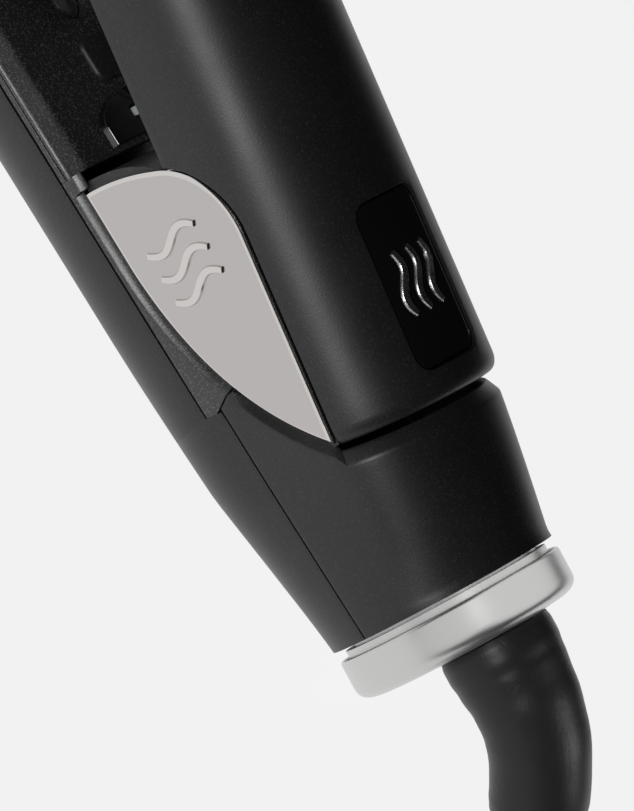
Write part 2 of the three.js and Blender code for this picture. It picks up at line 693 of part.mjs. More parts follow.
/** Tapered strain relief: a fat sleeve, a rounded shoulder and a thin neck. */
function cordBoot() {
  const profile = [
    [0, 0],
    [7.5, 0],
    [7.55, 0.06],
    [7.3, 0.14],
    [6.9, 0.25],
    [6.6, 0.38],
    [6.4, 0.55],
    [6.35, 0.68],
    [6.1, 0.72],
    [5.2, 0.76],
    [4.5, 0.8],
    [4.2, 0.9],
    [3.9, 1],
    [0, 1],
  ].map(([r, t]) => new THREE.Vector2(r, t));
  const geometry = new THREE.LatheGeometry(profile, 24);
  const across = new THREE.Vector3(0, 1, 0);
  reshaped(geometry, (p) => {
    const t = THREE.MathUtils.clamp(p.y, 0, 1);
    const centre = BOOT_LINE.getPointAt(t);
    const normal = new THREE.Vector3().crossVectors(across, BOOT_LINE.getTangentAt(t));
    const [u, v] = [p.x, p.z];
    p.copy(centre).addScaledVector(across, u).addScaledVector(normal, v);
  });
  return solid(geometry);
}

// ---------------------------------------------------------------- lead and plug, drawn where they lie

const LEAD_Z = CORD_RADIUS + 0.2;
// The lead's spare length, folded into a tied hank in line with the iron.
const HANK = { near: 233.5, far: 278.5, y: 12.4, radius: 21.7, width: 12.8, height: 37 };

/** A lead along chosen points. */
function lead(points, steps) {
  const path = new THREE.CatmullRomCurve3(points.map((p) => new THREE.Vector3(...p)));
  const section = new THREE.Shape().absarc(0, 0, CORD_RADIUS, 0, 2 * Math.PI);
  const options = { steps, bevelEnabled: false, extrudePath: path, curveSegments: 5 };
  return solid(new THREE.ExtrudeGeometry(section, options));
}

// From the boot down to the surface and along it to the outside of the hank.
const RUN = [
  [168.8, 0, 7.15],
  [173.6, 0, 5.0],
  [178.8, -0.2, 3.75],
  [184, -1.1, 3.35],
  [190, -3.3, LEAD_Z],
  [196, -6.2, LEAD_Z],
  [202, -9.1, LEAD_Z],
  [208, -11.3, LEAD_Z],
  [214.2, -12.35, LEAD_Z],
];

// From the far end of the hank to the plug, which points away from the iron.
const PLUG = { x: 328.5, y: 1.7, thick: 13.4 };
const TAIL_RUN = [
  [301.5, -9.6, 4.6],
  [305, -7.8, 3.7],
  [311, -4.9, LEAD_Z],
  [317, -2, 3.5],
  [323, 0.4, 4.3],
  [327.3, 1.6, 5.4],
];

/** A closed loop with round ends about the hank's middle line. */
function hankLoop(radius) {
  const { near, far, y } = HANK;
  const shape = new THREE.Shape();
  shape.moveTo(near, y - radius);
  shape.lineTo(far, y - radius);
  shape.absarc(far, y, radius, -Math.PI / 2, Math.PI / 2);
  shape.lineTo(near, y + radius);
  shape.absarc(near, y, radius, Math.PI / 2, 1.5 * Math.PI);
  return shape;
}

const TIE_HALF = 7;
const TIE_THICK = 1.2;

function cordCoil() {
  const { radius, width, height } = HANK;
  const outline = hankLoop(radius + width / 2);
  outline.holes.push(new THREE.Path(hankLoop(radius - width / 2).getPoints(12)));
  return cutting(upZ(outline, 0, height, 12), tieBand(3, -TIE_THICK - GAP, TIE_HALF + GAP));
}

/** Band round the hank's near run between two offsets from its section. */
function tieBand(outer, inner, halfWidth) {
  const { near, far, y, radius, width, height } = HANK;
  const middle = (near + far) / 2;
  const section = (grow) => {
    const half = width / 2 + grow;
    return roundedRect(y - radius - half, y - radius + half, -grow, height + grow, 2.5 + grow);
  };
  const band = section(outer);
  band.holes.push(new THREE.Path(section(inner).getPoints(2)));
  return solid(extruded(band, middle - halfWidth, middle + halfWidth, ALONG_X, 1, 2));
}

const coilTie = () => tieBand(0, -TIE_THICK, TIE_HALF);

/** Flat two-pin plug, drawn about the end of its sleeve: body, then a short sleeve for the lead. */
function plugBody() {
  const outline = new THREE.Shape();
  outline.moveTo(0, 4.5);
  outline.lineTo(-7, 5.4);
  outline.quadraticCurveTo(-12, 15, -20, 15.5);
  outline.lineTo(-35, 17.6);
  outline.lineTo(-38, 17.2);
  outline.lineTo(-38, -17.2);
  outline.lineTo(-35, -17.6);
  outline.lineTo(-20, -15.5);
  outline.quadraticCurveTo(-12, -15, -7, -5.4);
  outline.lineTo(0, -4.5);
  const thick = new THREE.Shape();
  thick.moveTo(0, 1.4);
  thick.lineTo(-10, 0);
  thick.lineTo(-38, 0);
  thick.lineTo(-38, PLUG.thick);
  thick.lineTo(-12, PLUG.thick);
  thick.lineTo(0, 9.6);
  const body = upZ(outline, -1, 15, 5).intersect(acrossY(thick, -30, 30));
  const sockets = [-9.5, 9.5].map((side) => pinShape(side, 2.4 + GAP, -32));
  return cutting(body, ...sockets);
}

/** A round plug pin, pointing away from the lead. */
function pinShape(y, radius, to) {
  const tip = -38 - 19;
  const profile = [
    [0, tip],
    [radius - 1, tip],
    [radius, tip + 1.6],
    [radius, to],
    [0, to],
  ];
  return lathed(profile, 16, y, PLUG.thick / 2);
}

// ---------------------------------------------------------------- assembly

const iron = new THREE.Group();
const aboutPin = new THREE.Group();
aboutPin.position.set(HINGE_X, 0, HINGE_Z);
iron.add(aboutPin);

const lowerArm = new THREE.Group();
lowerArm.rotation.x = Math.PI;
lowerArm.position.z = -MATING_DROP;
const swung = new THREE.Group();
swung.rotation.y = OPEN_ANGLE;
const upperArm = new THREE.Group();
upperArm.position.z = -MATING_DROP;
swung.add(upperArm);
const tail = new THREE.Group();
tail.position.set(COLLAR_X, 0, COLLAR_Z);
tail.rotation.y = TAIL_TILT;
aboutPin.add(lowerArm, swung, tail);

for (const [arm, prefix] of [
  [lowerArm, "lower"],
  [upperArm, "upper"],
]) {
  arm.add(
    piece(prefix + "_tip", tip(), heatPlastic),
    piece(prefix + "_plate_holder", plateHolder(), heatPlastic),
    piece(prefix + "_heating_plate", heatingPlate(), anodised),
    piece(prefix + "_heater", heater(), ceramic),
    piece(prefix + "_cushion_front", cushion(PLATE_FROM + 16), silicone),
    piece(prefix + "_cushion_rear", cushion(PLATE_TO - 16), silicone),
  );
  for (const { name, x } of SCREWS) arm.add(piece(prefix + "_screw_" + name, screw(x, 0), springSteel));
}

lowerArm.add(
  piece("lower_outer_shell", lowerOuterShell(), softBlack),
  piece("lower_inner_shell", lowerInnerShell(), stripBlack),
  piece("control_island", controlIsland(), glossBlack),
  piece("status_lens", statusLens(), lensWhite),
  piece("power_button", powerButton(), stripBlack),
  piece("circuit_board", circuitBoard(), boardGreen),
);
upperArm.add(
  piece("upper_outer_shell", upperOuterShell(), softBlack),
  piece("upper_inner_shell", upperInnerShell(), stripBlack),
  piece("badge_window", badgeWindow(), glossBlack),
  piece("badge_emblem", badgeEmblem(), polished),
);
swung.add(piece("upper_hinge_frame", upperHingeFrame(), springSteel));
aboutPin.add(
  piece("rear_top_shell", rearTopShell(), softBlack),
  piece("hinge_knuckle", hingeKnuckle(), stripBlack),
  piece("side_insert_left", sideInsert(-1), satinInsert),
  piece("side_insert_right", sideInsert(1), satinInsert),
  piece("hinge_pin", rod(PIN_RADIUS, -13, 13, 0, 0, 24), springSteel),
  piece("hinge_washer_left", washer(-1), brass),
  piece("hinge_washer_right", washer(1), brass),
  piece("hinge_spring", hingeSpring(), springSteel),
  piece("cord_boot", cordBoot(), rubberBlack),
);
tail.add(
  piece("end_collar", endCollar(), polished),
  piece("swivel_bush", swivelBush(), heatPlastic),
  piece("cord_clamp", cordClamp(), heatPlastic),
);
iron.add(
  piece("cord_run", lead(RUN, 10), rubberBlack),
  piece("cord_coil", cordCoil(), rubberBlack),
  piece("coil_tie", coilTie(), rubberBlack),
  piece("cord_tail", lead(TAIL_RUN, 6), rubberBlack),
);

const plug = new THREE.Group();
plug.position.set(PLUG.x, PLUG.y, 0);
plug.rotation.z = Math.PI;
plug.add(
  piece("plug_body", plugBody(), rubberBlack),
  piece("plug_pin_left", pinShape(-9.5, 2.4, -33), brass),
  piece("plug_pin_right", pinShape(9.5, 2.4, -33), brass),
);
iron.add(plug);

export default iron;
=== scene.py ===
"""A hair styling iron with two hinged arms, its lead and its plug, dressed for the camera."""

import json
import logging
import math
from collections.abc import Sequence
from dataclasses import dataclass, field
from enum import Enum

import bmesh
import bpy
from mathutils import Matrix, Vector

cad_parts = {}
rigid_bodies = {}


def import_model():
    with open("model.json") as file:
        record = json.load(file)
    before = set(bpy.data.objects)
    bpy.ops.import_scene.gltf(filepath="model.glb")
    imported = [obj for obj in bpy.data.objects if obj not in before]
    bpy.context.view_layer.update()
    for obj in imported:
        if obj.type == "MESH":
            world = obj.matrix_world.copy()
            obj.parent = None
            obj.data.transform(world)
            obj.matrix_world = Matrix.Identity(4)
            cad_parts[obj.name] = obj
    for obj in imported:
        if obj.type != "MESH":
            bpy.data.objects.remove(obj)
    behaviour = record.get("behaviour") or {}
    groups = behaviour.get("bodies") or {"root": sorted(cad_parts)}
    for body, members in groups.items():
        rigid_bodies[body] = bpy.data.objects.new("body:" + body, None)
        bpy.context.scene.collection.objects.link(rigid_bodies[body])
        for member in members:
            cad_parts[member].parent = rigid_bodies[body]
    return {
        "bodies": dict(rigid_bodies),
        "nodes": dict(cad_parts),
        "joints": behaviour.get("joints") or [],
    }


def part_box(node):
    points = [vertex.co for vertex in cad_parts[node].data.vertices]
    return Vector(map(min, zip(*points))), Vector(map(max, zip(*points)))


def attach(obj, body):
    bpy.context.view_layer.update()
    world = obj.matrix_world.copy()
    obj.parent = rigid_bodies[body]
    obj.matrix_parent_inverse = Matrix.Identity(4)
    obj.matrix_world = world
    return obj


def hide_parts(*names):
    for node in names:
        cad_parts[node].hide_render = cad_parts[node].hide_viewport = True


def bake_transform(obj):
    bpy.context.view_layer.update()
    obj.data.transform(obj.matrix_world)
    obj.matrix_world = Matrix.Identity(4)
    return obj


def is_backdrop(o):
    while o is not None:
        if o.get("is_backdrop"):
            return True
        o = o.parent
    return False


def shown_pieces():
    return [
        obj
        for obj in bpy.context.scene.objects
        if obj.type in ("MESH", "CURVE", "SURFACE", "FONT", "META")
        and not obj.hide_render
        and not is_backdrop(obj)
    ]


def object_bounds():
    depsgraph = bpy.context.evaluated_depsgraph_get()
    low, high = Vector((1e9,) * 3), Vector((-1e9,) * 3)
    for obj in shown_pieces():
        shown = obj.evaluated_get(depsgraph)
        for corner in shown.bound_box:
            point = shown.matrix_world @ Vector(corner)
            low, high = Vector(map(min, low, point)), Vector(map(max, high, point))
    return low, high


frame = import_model()
CAD_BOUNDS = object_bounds()
log = logging.getLogger("iron")

MM = 0.001
Point = tuple[float, float]
Row = list[Vector]


class Body(str, Enum):
    """The bodies that pieces ride on."""

    LOWER = "lower_arm"
    UPPER = "upper_arm"
    KEY = "power_key"
    SWIVEL = "swivel"


# ---------------------------------------------------------------- finishes


# Numbers of the colour sockets on a mix node.
COLOUR_A, COLOUR_B, COLOUR_OUT = 6, 7, 2


class Graph:
    """A short way to write a material's node tree."""

    def __init__(self, name: str) -> None:
        """Start an empty material called name."""
        self.material = bpy.data.materials.new(name)
        self.material.use_nodes = True
        self.tree = self.material.node_tree
        self.tree.nodes.clear()

    def add(self, kind: str, inputs: dict | None = None, **props: object) -> bpy.types.Node:
        """Add one node.

        Args:
            kind: The node's type name.
            inputs: Socket name or number to a value or to another node's output.
            props: Settings of the node itself.

        Returns:
            The node.
        """
        node = self.tree.nodes.new(kind)
        for key, value in props.items():
            setattr(node, key, value)
        for key, value in (inputs or {}).items():
            if isinstance(value, bpy.types.NodeSocket):
                self.tree.links.new(value, node.inputs[key])
            else:
                node.inputs[key].default_value = value
        return node

    def spread(
        self, value: bpy.types.NodeSocket, low: float, high: float, start: float = 0.3, end: float = 0.7
    ) -> bpy.types.NodeSocket:
        """Map a noise value onto a range.

        Args:
            value: The socket to read.
            low: What start becomes.
            high: What end becomes.
            start: Lowest value expected.
            end: Highest value expected.

        Returns:
            The mapped socket.
        """
        node = self.add(
            "ShaderNodeMapRange",
            {"Value": value, "From Min": start, "From Max": end, "To Min": low, "To Max": high},
        )
        return node.outputs["Result"]

    def blend(self, share: bpy.types.NodeSocket, first: object, second: object) -> bpy.types.NodeSocket:
        """Blend two colours.

        Args:
            share: The socket that says how much of the second colour shows.
            first: A colour or another node's output.
            second: A colour or another node's output.

        Returns:
            The blended colour's socket.
        """
        sockets = {"Factor": share, COLOUR_A: first, COLOUR_B: second}
        return self.add("ShaderNodeMix", sockets, data_type="RGBA").outputs[COLOUR_OUT]


@dataclass(frozen=True)
class Finish:
    """A surface finish with grain, uneven gloss and, where asked, flakes or creases. Sizes in mm."""

    name: str
    colour: tuple[float, float, float]
    roughness: float = 0.42
    metallic: float = 0.0
    grain: float = 0.22
    grain_depth: float = 0.012
    wear: float = 0.06
    mottle: float = 0.12
    flakes: float = 0.0
    flake_size: float = 0.16
    flake_colour: tuple[float, float, float] = (0.35, 0.35, 0.37)
    crease: float = 0.0
    stretch: tuple[float, float, float] = (1.0, 1.0, 1.0)
    coat: float = 0.0
    specular: float = 0.5

    def material(self) -> bpy.types.Material:
        """Build the finish once, or give back the one built before."""
        made = bpy.data.materials.get(self.name + "_look")
        return made or self._build()

    def _build(self) -> bpy.types.Material:
        """Make the node tree.

        Returns:
            The new material.
        """
        g = Graph(self.name + "_look")
        place = g.add("ShaderNodeTexCoord").outputs["Object"]
        place = g.add("ShaderNodeMapping", {"Vector": place, "Scale": self.stretch}).outputs["Vector"]
        fine = g.add(
            "ShaderNodeTexNoise",
            {"Vector": place, "Scale": 1 / (self.grain * MM), "Detail": 3.0, "Roughness": 0.6},
        ).outputs["Fac"]
        broad = g.add(
            "ShaderNodeTexNoise", {"Vector": place, "Scale": 85.0, "Detail": 5.0, "Roughness": 0.62}
        ).outputs["Fac"]
        dark = tuple(c * (1 - self.mottle) for c in self.colour) + (1.0,)
        light = tuple(c * (1 + self.mottle) for c in self.colour) + (1.0,)
        colour = g.blend(broad, dark, light)
        rough = g.spread(broad, self.roughness - self.wear, self.roughness + self.wear)
        if self.flakes:
            cells = g.add("ShaderNodeTexVoronoi", {"Vector": place, "Scale": 1 / (self.flake_size * MM)})
            tint = g.add("ShaderNodeSeparateColor", {"Color": cells.outputs["Color"]}).outputs["Red"]
            bright = g.add(
                "ShaderNodeMath", {0: tint, 1: 1 - self.flakes}, operation="GREATER_THAN"
            ).outputs[0]
            colour = g.blend(bright, colour, self.flake_colour + (1.0,))
        bump = g.add("ShaderNodeBump", {"Height": fine, "Distance": self.grain_depth * MM, "Strength": 1.0})
        if self.crease:
            long = g.add(
                "ShaderNodeTexNoise",
                {"Vector": place, "Scale": 420.0, "Detail": 4.0, "Roughness": 0.7, "Distortion": 0.8},
            ).outputs["Fac"]
            bump = g.add(
                "ShaderNodeBump",
                {
                    "Height": long,
                    "Distance": self.crease * MM,
                    "Strength": 1.0,
                    "Normal": bump.outputs["Normal"],
                },
            )
        shader = g.add(
            "ShaderNodeBsdfPrincipled",
            {
                "Base Color": colour,
                "Roughness": rough,
                "Metallic": self.metallic,
                "Coat Weight": self.coat,
                "Specular IOR Level": self.specular,
                "Normal": bump.outputs["Normal"],
            },
        )
        g.add("ShaderNodeOutputMaterial", {"Surface": shader.outputs[0]})
        return g.material


SOFT = Finish(
    "soft_shell",
    (0.0130, 0.0130, 0.0140),
    0.41,
    grain=0.28,
    grain_depth=0.013,
    wear=0.03,
    mottle=0.22,
    flakes=0.10,
    flake_size=0.15,
    flake_colour=(0.026, 0.026, 0.028),
    specular=0.46,
)
STRIP = Finish(
    "fillet_shell",
    (0.018, 0.018, 0.019),
    0.36,
    grain=0.26,
    grain_depth=0.022,
    flakes=0.16,
    flake_size=0.17,
    flake_colour=(0.07, 0.07, 0.073),
    specular=0.75,
)
ROUGH = Finish(
    "textured_plastic",
    (0.014, 0.014, 0.015),
    0.46,
    grain=0.26,
    grain_depth=0.014,
    flakes=0.05,
    flake_size=0.14,
    flake_colour=(0.05, 0.05, 0.052),
)
GLOSS = Finish("gloss_black", (0.006, 0.006, 0.007), 0.08, wear=0.03, grain_depth=0.001, coat=0.6)
HEATPROOF = Finish("heat_plastic", (0.008, 0.008, 0.008), 0.45, grain_depth=0.02)
PLATE = Finish(
    "plate", (0.12, 0.11, 0.115), 0.25, metallic=0.6, flakes=0.1, flake_colour=(0.3, 0.28, 0.27), coat=0.4
)
CERAMIC = Finish("heater_ceramic", (0.80, 0.77, 0.70), 0.6, grain_depth=0.02)
SILICONE = Finish("silicone", (0.35, 0.06, 0.04), 0.5)
STEEL = Finish("steel", (0.45, 0.45, 0.46), 0.3, metallic=1.0, stretch=(0.2, 1.0, 1.0))
BOARD = Finish("board", (0.03, 0.14, 0.06), 0.4, grain=0.5)
LENS = Finish("lens", (0.75, 0.80, 0.82), 0.15, grain_depth=0.002)
EMBLEM = Finish(
    "emblem_metal",
    (0.75, 0.75, 0.76),
    0.32,
    metallic=1.0,
    grain=0.12,
    grain_depth=0.02,
    flakes=0.2,
    flake_colour=(0.35, 0.35, 0.36),
)
INSERT = Finish(
    "insert_metal",
    (0.525, 0.503, 0.497),
    0.22,
    metallic=1.0,
    grain=0.16,
    grain_depth=0.0012,
    wear=0.03,
    mottle=0.015,
)
RIM = Finish("insert_rim", (0.66, 0.64, 0.62), 0.12, metallic=1.0, grain_depth=0.001, wear=0.03, mottle=0.03)
COLLAR = Finish(
    "collar_metal",
    (0.62, 0.615, 0.61),
    0.34,
    metallic=0.95,
    grain=0.3,
    grain_depth=0.0008,
    wear=0.03,
    mottle=0.02,
)
BRASS = Finish("brass", (0.70, 0.55, 0.28), 0.25, metallic=1.0)
BOOT = Finish(
    "boot_rubber",
    (0.014, 0.014, 0.0145),
    0.40,
    grain=0.3,
    grain_depth=0.012,
    wear=0.05,
    crease=0.07,
    stretch=(0.5, 1.0, 0.5),
    specular=0.26,
)
LEAD = Finish("lead_rubber", (0.022, 0.022, 0.022), 0.42, grain=0.3, grain_depth=0.02)
TIE = Finish("tie_strap", (0.020, 0.020, 0.020), 0.55, grain=0.3, grain_depth=0.05)
PLUG = Finish("plug_plastic", (0.025, 0.025, 0.026), 0.42, grain=0.25, grain_depth=0.03)


# ---------------------------------------------------------------- axes


def node_centre(node: str) -> Vector:
    """Middle of a CAD node's box."""
    low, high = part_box(node)
    return (low + high) / 2


@dataclass(frozen=True)
class Axes:
    """One arm's own axes: x from the hinge pin towards the tail, y across, s outward. Lengths in mm."""

    origin: Vector
    turn: float = 0.0
    rise: float = 0.0
    sign: float = 1.0

    def at(self, x: float, y: float, s: float) -> Vector:
        """Turn a point of the arm into the shared frame.

        Args:
            x: Distance along the arm.
            y: Distance across it.
            s: Distance outward.

        Returns:
            The point in metres.
        """
        z = self.sign * s + self.rise
        cosine, sine = math.cos(self.turn), math.sin(self.turn)
        return self.origin + Vector((x * cosine + z * sine, self.sign * y, z * cosine - x * sine)) * MM


PIN = next(Vector(j["pos_m"]) for j in frame["joints"] if j["name"] == "arm_hinge")
OPEN_ANGLE = math.radians(11.3)
TAIL_TILT = math.radians(4.5)
LOWER = Axes(PIN, rise=-1.5, sign=-1.0)
UPPER = Axes(PIN, turn=OPEN_ANGLE, rise=-1.5)
HINGE = Axes(PIN)
COLLAR_X, COLLAR_Z = 52.6, -6.0
REAR = Axes(PIN + Vector((COLLAR_X, 0, COLLAR_Z)) * MM, turn=TAIL_TILT)


# ---------------------------------------------------------------- meshes


def ramp(x: float, start: float, end: float) -> float:
    """Share of the way from start to end, kept from 0 to 1."""
    return min(1.0, max(0.0, (x - start) / (end - start)))


def ease(x: float, start: float, end: float) -> float:
    """Smooth share of the way from start to end."""
    t = ramp(x, start, end)
    return t * t * (3 - 2 * t)


def quad(a: Point, b: Point, c: Point, n: int = 12) -> list[Point]:
    """Points of a quadratic curve after its start.

    Args:
        a: Start.
        b: Control point.
        c: End.
        n: How many points.

    Returns:
        The points, the last one at c.
    """
    out = []
    for i in range(1, n + 1):
        t = i / n
        out.append(tuple((1 - t) ** 2 * p + 2 * t * (1 - t) * q + t * t * r for p, q, r in zip(a, b, c)))
    return out


def arc(cx: float, cy: float, r: float, start: float, end: float, n: int = 24) -> list[Point]:
    """Points of a circular arc, angles in degrees, both ends included."""
    angles = (math.radians(start + (end - start) * i / n) for i in range(n + 1))
    return [(cx + r * math.cos(a), cy + r * math.sin(a)) for a in angles]


def rounded_box(x0: float, x1: float, half: float, corner: float) -> list[Point]:
    """A rectangle with rounded corners.

    Args:
        x0: Its start.
        x1: Its end.
        half: Half its width.
        corner: Radius of the corners.

    Returns:
        Points (x, y).
    """
    out = []
    for cx, cy, a in (
        (x1 - corner, half - corner, 0),
        (x0 + corner, half - corner, 90),
        (x0 + corner, corner - half, 180),
        (x1 - corner, corner - half, 270),
    ):
        out += arc(cx, cy, corner, a, a + 90, 8)
    return out


def straight(a: Point, b: Point, n: int = 8) -> list[Point]:
    """Points of a straight line after its start."""
    return [tuple(p + (q - p) * i / n for p, q in zip(a, b)) for i in range(1, n + 1)]


@dataclass
class Piece:
    """A mesh that becomes one object of the scene."""

    name: str
    finish: Finish
    body: Body | None
    replaces: Sequence[str] = ()
    slot: str = ""
    verts: list[Vector] = field(default_factory=list)
    faces: list[tuple[int, ...]] = field(default_factory=list)
    obj: bpy.types.Object | None = None

    def rings(
        self,
        rows: Sequence[Sequence[Vector]],
        round_: bool = False,
        closed: bool = False,
        caps: bool = False,
    ) -> "Piece":
        """Skin a run of rows of points.

        Args:
            rows: Rows with the same number of points.
            round_: Each row closes on itself.
            closed: The last row joins the first.
            caps: Fill the first and last rows.

        Returns:
            This piece.
        """
        base, n, m = len(self.verts), len(rows[0]), len(rows)
        for row in rows:
            self.verts.extend(row)
        for i in range(m if closed else m - 1):
            for j in range(n if round_ else n - 1):
                a, b = base + i * n, base + (i + 1) % m * n
                self.faces.append((a + j, a + (j + 1) % n, b + (j + 1) % n, b + j))
        if caps:
            self.faces.append(tuple(base + j for j in reversed(range(n))))
            self.faces.append(tuple(base + (m - 1) * n + j for j in range(n)))
        return self

    def finish_mesh(
        self,
        thickness: float = 0.0,
        bevel: float = 0.0,
        angle: float = 40.0,
        subdivide: int = 0,
        cutters: Sequence[bpy.types.Object] = (),
    ) -> bpy.types.Object:
        """Make the object, with its modifiers worked into the mesh.

        Args:
            thickness: Wall behind the skin, in mm.
            bevel: Width of the rounded edges, in mm.
            angle: Sharpest angle that is still shaded smooth, in degrees.
            subdivide: Levels of subdivision.
            cutters: Shapes taken out of it, which are used up.

        Returns:
            The object.
        """
        mesh = bpy.data.meshes.new(self.name)
        mesh.from_pydata([tuple(v) for v in self.verts], [], self.faces)
        bm = bmesh.new()
        bm.from_mesh(mesh)
        bmesh.ops.remove_doubles(bm, verts=bm.verts, dist=2e-6)
        bmesh.ops.dissolve_degenerate(bm, edges=bm.edges, dist=1e-6)
        bmesh.ops.recalc_face_normals(bm, faces=bm.faces)
        middle = sum((v.co for v in bm.verts), Vector()) / len(bm.verts)
        if sum(f.normal.dot(f.calc_center_median() - middle) * f.calc_area() for f in bm.faces) < 0:
            bmesh.ops.reverse_faces(bm, faces=bm.faces)
        bm.to_mesh(mesh)
        bm.free()
        obj = bpy.data.objects.new(self.name, mesh)
        bpy.context.scene.collection.objects.link(obj)
        if thickness:
            solid = obj.modifiers.new("wall", "SOLIDIFY")
            solid.thickness, solid.offset, solid.use_even_offset = thickness * MM, -1.0, True
        for cutter in cutters:
            cut = obj.modifiers.new("cut", "BOOLEAN")
            cut.object, cut.operation, cut.solver = cutter, "DIFFERENCE", "EXACT"
        if subdivide:
            sub = obj.modifiers.new("smooth", "SUBSURF")
            sub.levels = sub.render_levels = subdivide
        if bevel:
            edge = obj.modifiers.new("edges", "BEVEL")
            edge.width, edge.segments, edge.limit_method = bevel * MM, 3, "ANGLE"
            edge.angle_limit, edge.use_clamp_overlap = math.radians(35), True
        if obj.modifiers:
            graph = bpy.context.evaluated_depsgraph_get()
            made = bpy.data.meshes.new_from_object(obj.evaluated_get(graph))
            obj.modifiers.clear()
            obj.data = made
        for cutter in cutters:
            bpy.data.objects.remove(cutter)
        obj.data.materials.clear()
        obj.data.materials.append(self.finish.material())
        shade(obj.data, angle)
        self.obj = obj
        return self.settle()

    def settle(self) -> bpy.types.Object:
        """Put the object on its body and hide the CAD nodes it stands for.

        Returns:
            The object.
        """
        if self.body is not None:
            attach(self.obj, self.body.value)
        if self.replaces:
            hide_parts(*self.replaces)
        log.info("%s: %d faces", self.name, len(self.obj.data.polygons))
        return self.obj


def shade(mesh: bpy.types.Mesh, angle: float) -> None:
    """Shade a mesh smooth, but for edges sharper than angle degrees."""
    mesh.shade_smooth()
    mesh.set_sharp_from_angle(angle=math.radians(angle))


# ---------------------------------------------------------------- studio


@dataclass(frozen=True)
class Softbox:
    """One area light: where it stands, in metres from the hinge, its size and its power in watts."""

    name: str
    place: tuple[float, float, float]
    size: float
    power: float

    def build(self) -> bpy.types.Object:
        """Hang the light, facing the iron.

        Returns:
            The lamp.
        """
        data = bpy.data.lights.new(self.name, "AREA")
        data.shape, data.size, data.energy = "DISK", self.size, self.power
        lamp = bpy.data.objects.new(self.name, data)
        lamp.location = self.place
        lamp.rotation_euler = (PIN - Vector(self.place)).to_track_quat("-Z", "Y").to_euler()
        bpy.context.scene.collection.objects.link(lamp)
        lamp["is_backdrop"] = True
        return lamp

    def shine_on(self, objects: Sequence[bpy.types.Object], lamp: bpy.types.Object | None = None) -> None:
        """Choose what the light falls on.

        Args:
            objects: The pieces that it falls on.
            lamp: The lamp, if it hangs already.
        """
        chosen = bpy.data.collections.new(self.name + "_pieces")
        for obj in objects:
            chosen.objects.link(obj)
        (lamp or self.build()).light_linking.receiver_collection = chosen


COLLAR_LIGHTS = (
    Softbox("collar_light_above", (0.10, 0.40, 1.20), 3.2, 23.0),
    Softbox("collar_light_front", (0.14, -1.35, 0.95), 2.1, 9.0),
)
BOOT_LIGHT = Softbox("boot_light", (1.30, 0.60, 1.00), 0.9, 12.0)


@dataclass(frozen=True)
class Studio:
    """The camera, a pale floor and soft light round the iron."""

    camera_at: tuple[float, float, float] = (0.14639, -0.60499, 0.56206)
    back: tuple[float, float, float] = (0.0517, -0.7420, 0.6684)
    up: tuple[float, float, float] = (-0.8489, 0.3200, 0.4210)
    lens: float = 293.3
    floor_glow: float = 0.885
    sky: float = 0.008
    key: Softbox = Softbox("key_light", (0.02, -1.42, 0.80), 0.5, 13.0)

    def build(self) -> bpy.types.Object:
        """Make the camera, the floor and the light.

        Returns:
            The key light.
        """
        self._camera()
        self._floor()
        scene = bpy.context.scene
        scene.view_settings.view_transform = "Standard"
        world = bpy.data.worlds.new("sky")
        world.use_nodes = True
        world.node_tree.nodes["Background"].inputs["Color"].default_value = (1, 1, 1, 1)
        world.node_tree.nodes["Background"].inputs["Strength"].default_value = self.sky
        scene.world = world
        return self.key.build()

    def _camera(self) -> None:
        """Set the camera at the product's angle."""
        data = bpy.data.cameras.new("camera")
        data.lens, data.sensor_width, data.clip_start = self.lens, 36.0, 0.01
        camera = bpy.data.objects.new("camera", data)
        back = Vector(self.back).normalized()
        right = Vector(self.up).cross(back).normalized()
        turn = Matrix((right, back.cross(right), back)).transposed().to_4x4()
        camera.matrix_world = Matrix.Translation(Vector(self.camera_at)) @ turn
        bpy.context.scene.collection.objects.link(camera)
        bpy.context.scene.camera = camera

    def _floor(self) -> None:
        """Lay a pale floor under the iron."""
        g = Graph("studio_floor")
        where = g.add("ShaderNodeTexCoord").outputs["Object"]
        cloud = g.add("ShaderNodeTexNoise", {"Vector": where, "Scale": 0.7, "Detail": 3.0}).outputs["Fac"]
        tone = g.spread(cloud, self.floor_glow - 0.002, self.floor_glow + 0.002)
        glow = g.add("ShaderNodeEmission", {"Color": (1, 1, 1, 1), "Strength": tone})
        matt = g.add("ShaderNodeBsdfDiffuse", {"Color": (0.05, 0.05, 0.05, 1)})
        both = g.add("ShaderNodeAddShader", {0: glow.outputs[0], 1: matt.outputs[0]})
        g.add("ShaderNodeOutputMaterial", {"Surface": both.outputs[0]})
        mesh = bpy.data.meshes.new("floor")
        half = 12.0
        mesh.from_pydata(
            [(-half, -half, 0), (half, -half, 0), (half, half, 0), (-half, half, 0)], [], [(0, 1, 2, 3)]
        )
        mesh.materials.append(g.material)
        floor = bpy.data.objects.new("floor", mesh)
        floor.location.z = CAD_BOUNDS[0].z - 0.0002
        bpy.context.scene.collection.objects.link(floor)
        floor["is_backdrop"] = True


# ---------------------------------------------------------------- lead


def tube_rows(path: Sequence[Vector], radii: Sequence[float], sides: int = 20) -> list[Row]:
    """Rings round a path, each square to it and not twisting.

    Args:
        path: Centres in metres.
        radii: Radius at each centre, in mm.
        sides: Points in a ring.

    Returns:
        One row for each centre.
    """
    rows, across = [], Vector((0, 1, 0))
    for i, centre in enumerate(path):
        ahead = (path[min(i + 1, len(path) - 1)] - path[max(i - 1, 0)]).normalized()
        across = (across - ahead * across.dot(ahead)).normalized()
        up = ahead.cross(across)
        r = radii[i] * MM
        angles = [math.tau * k / sides for k in range(sides)]
        rows.append([centre + (across * math.cos(a) + up * math.sin(a)) * r for a in angles])
    return rows


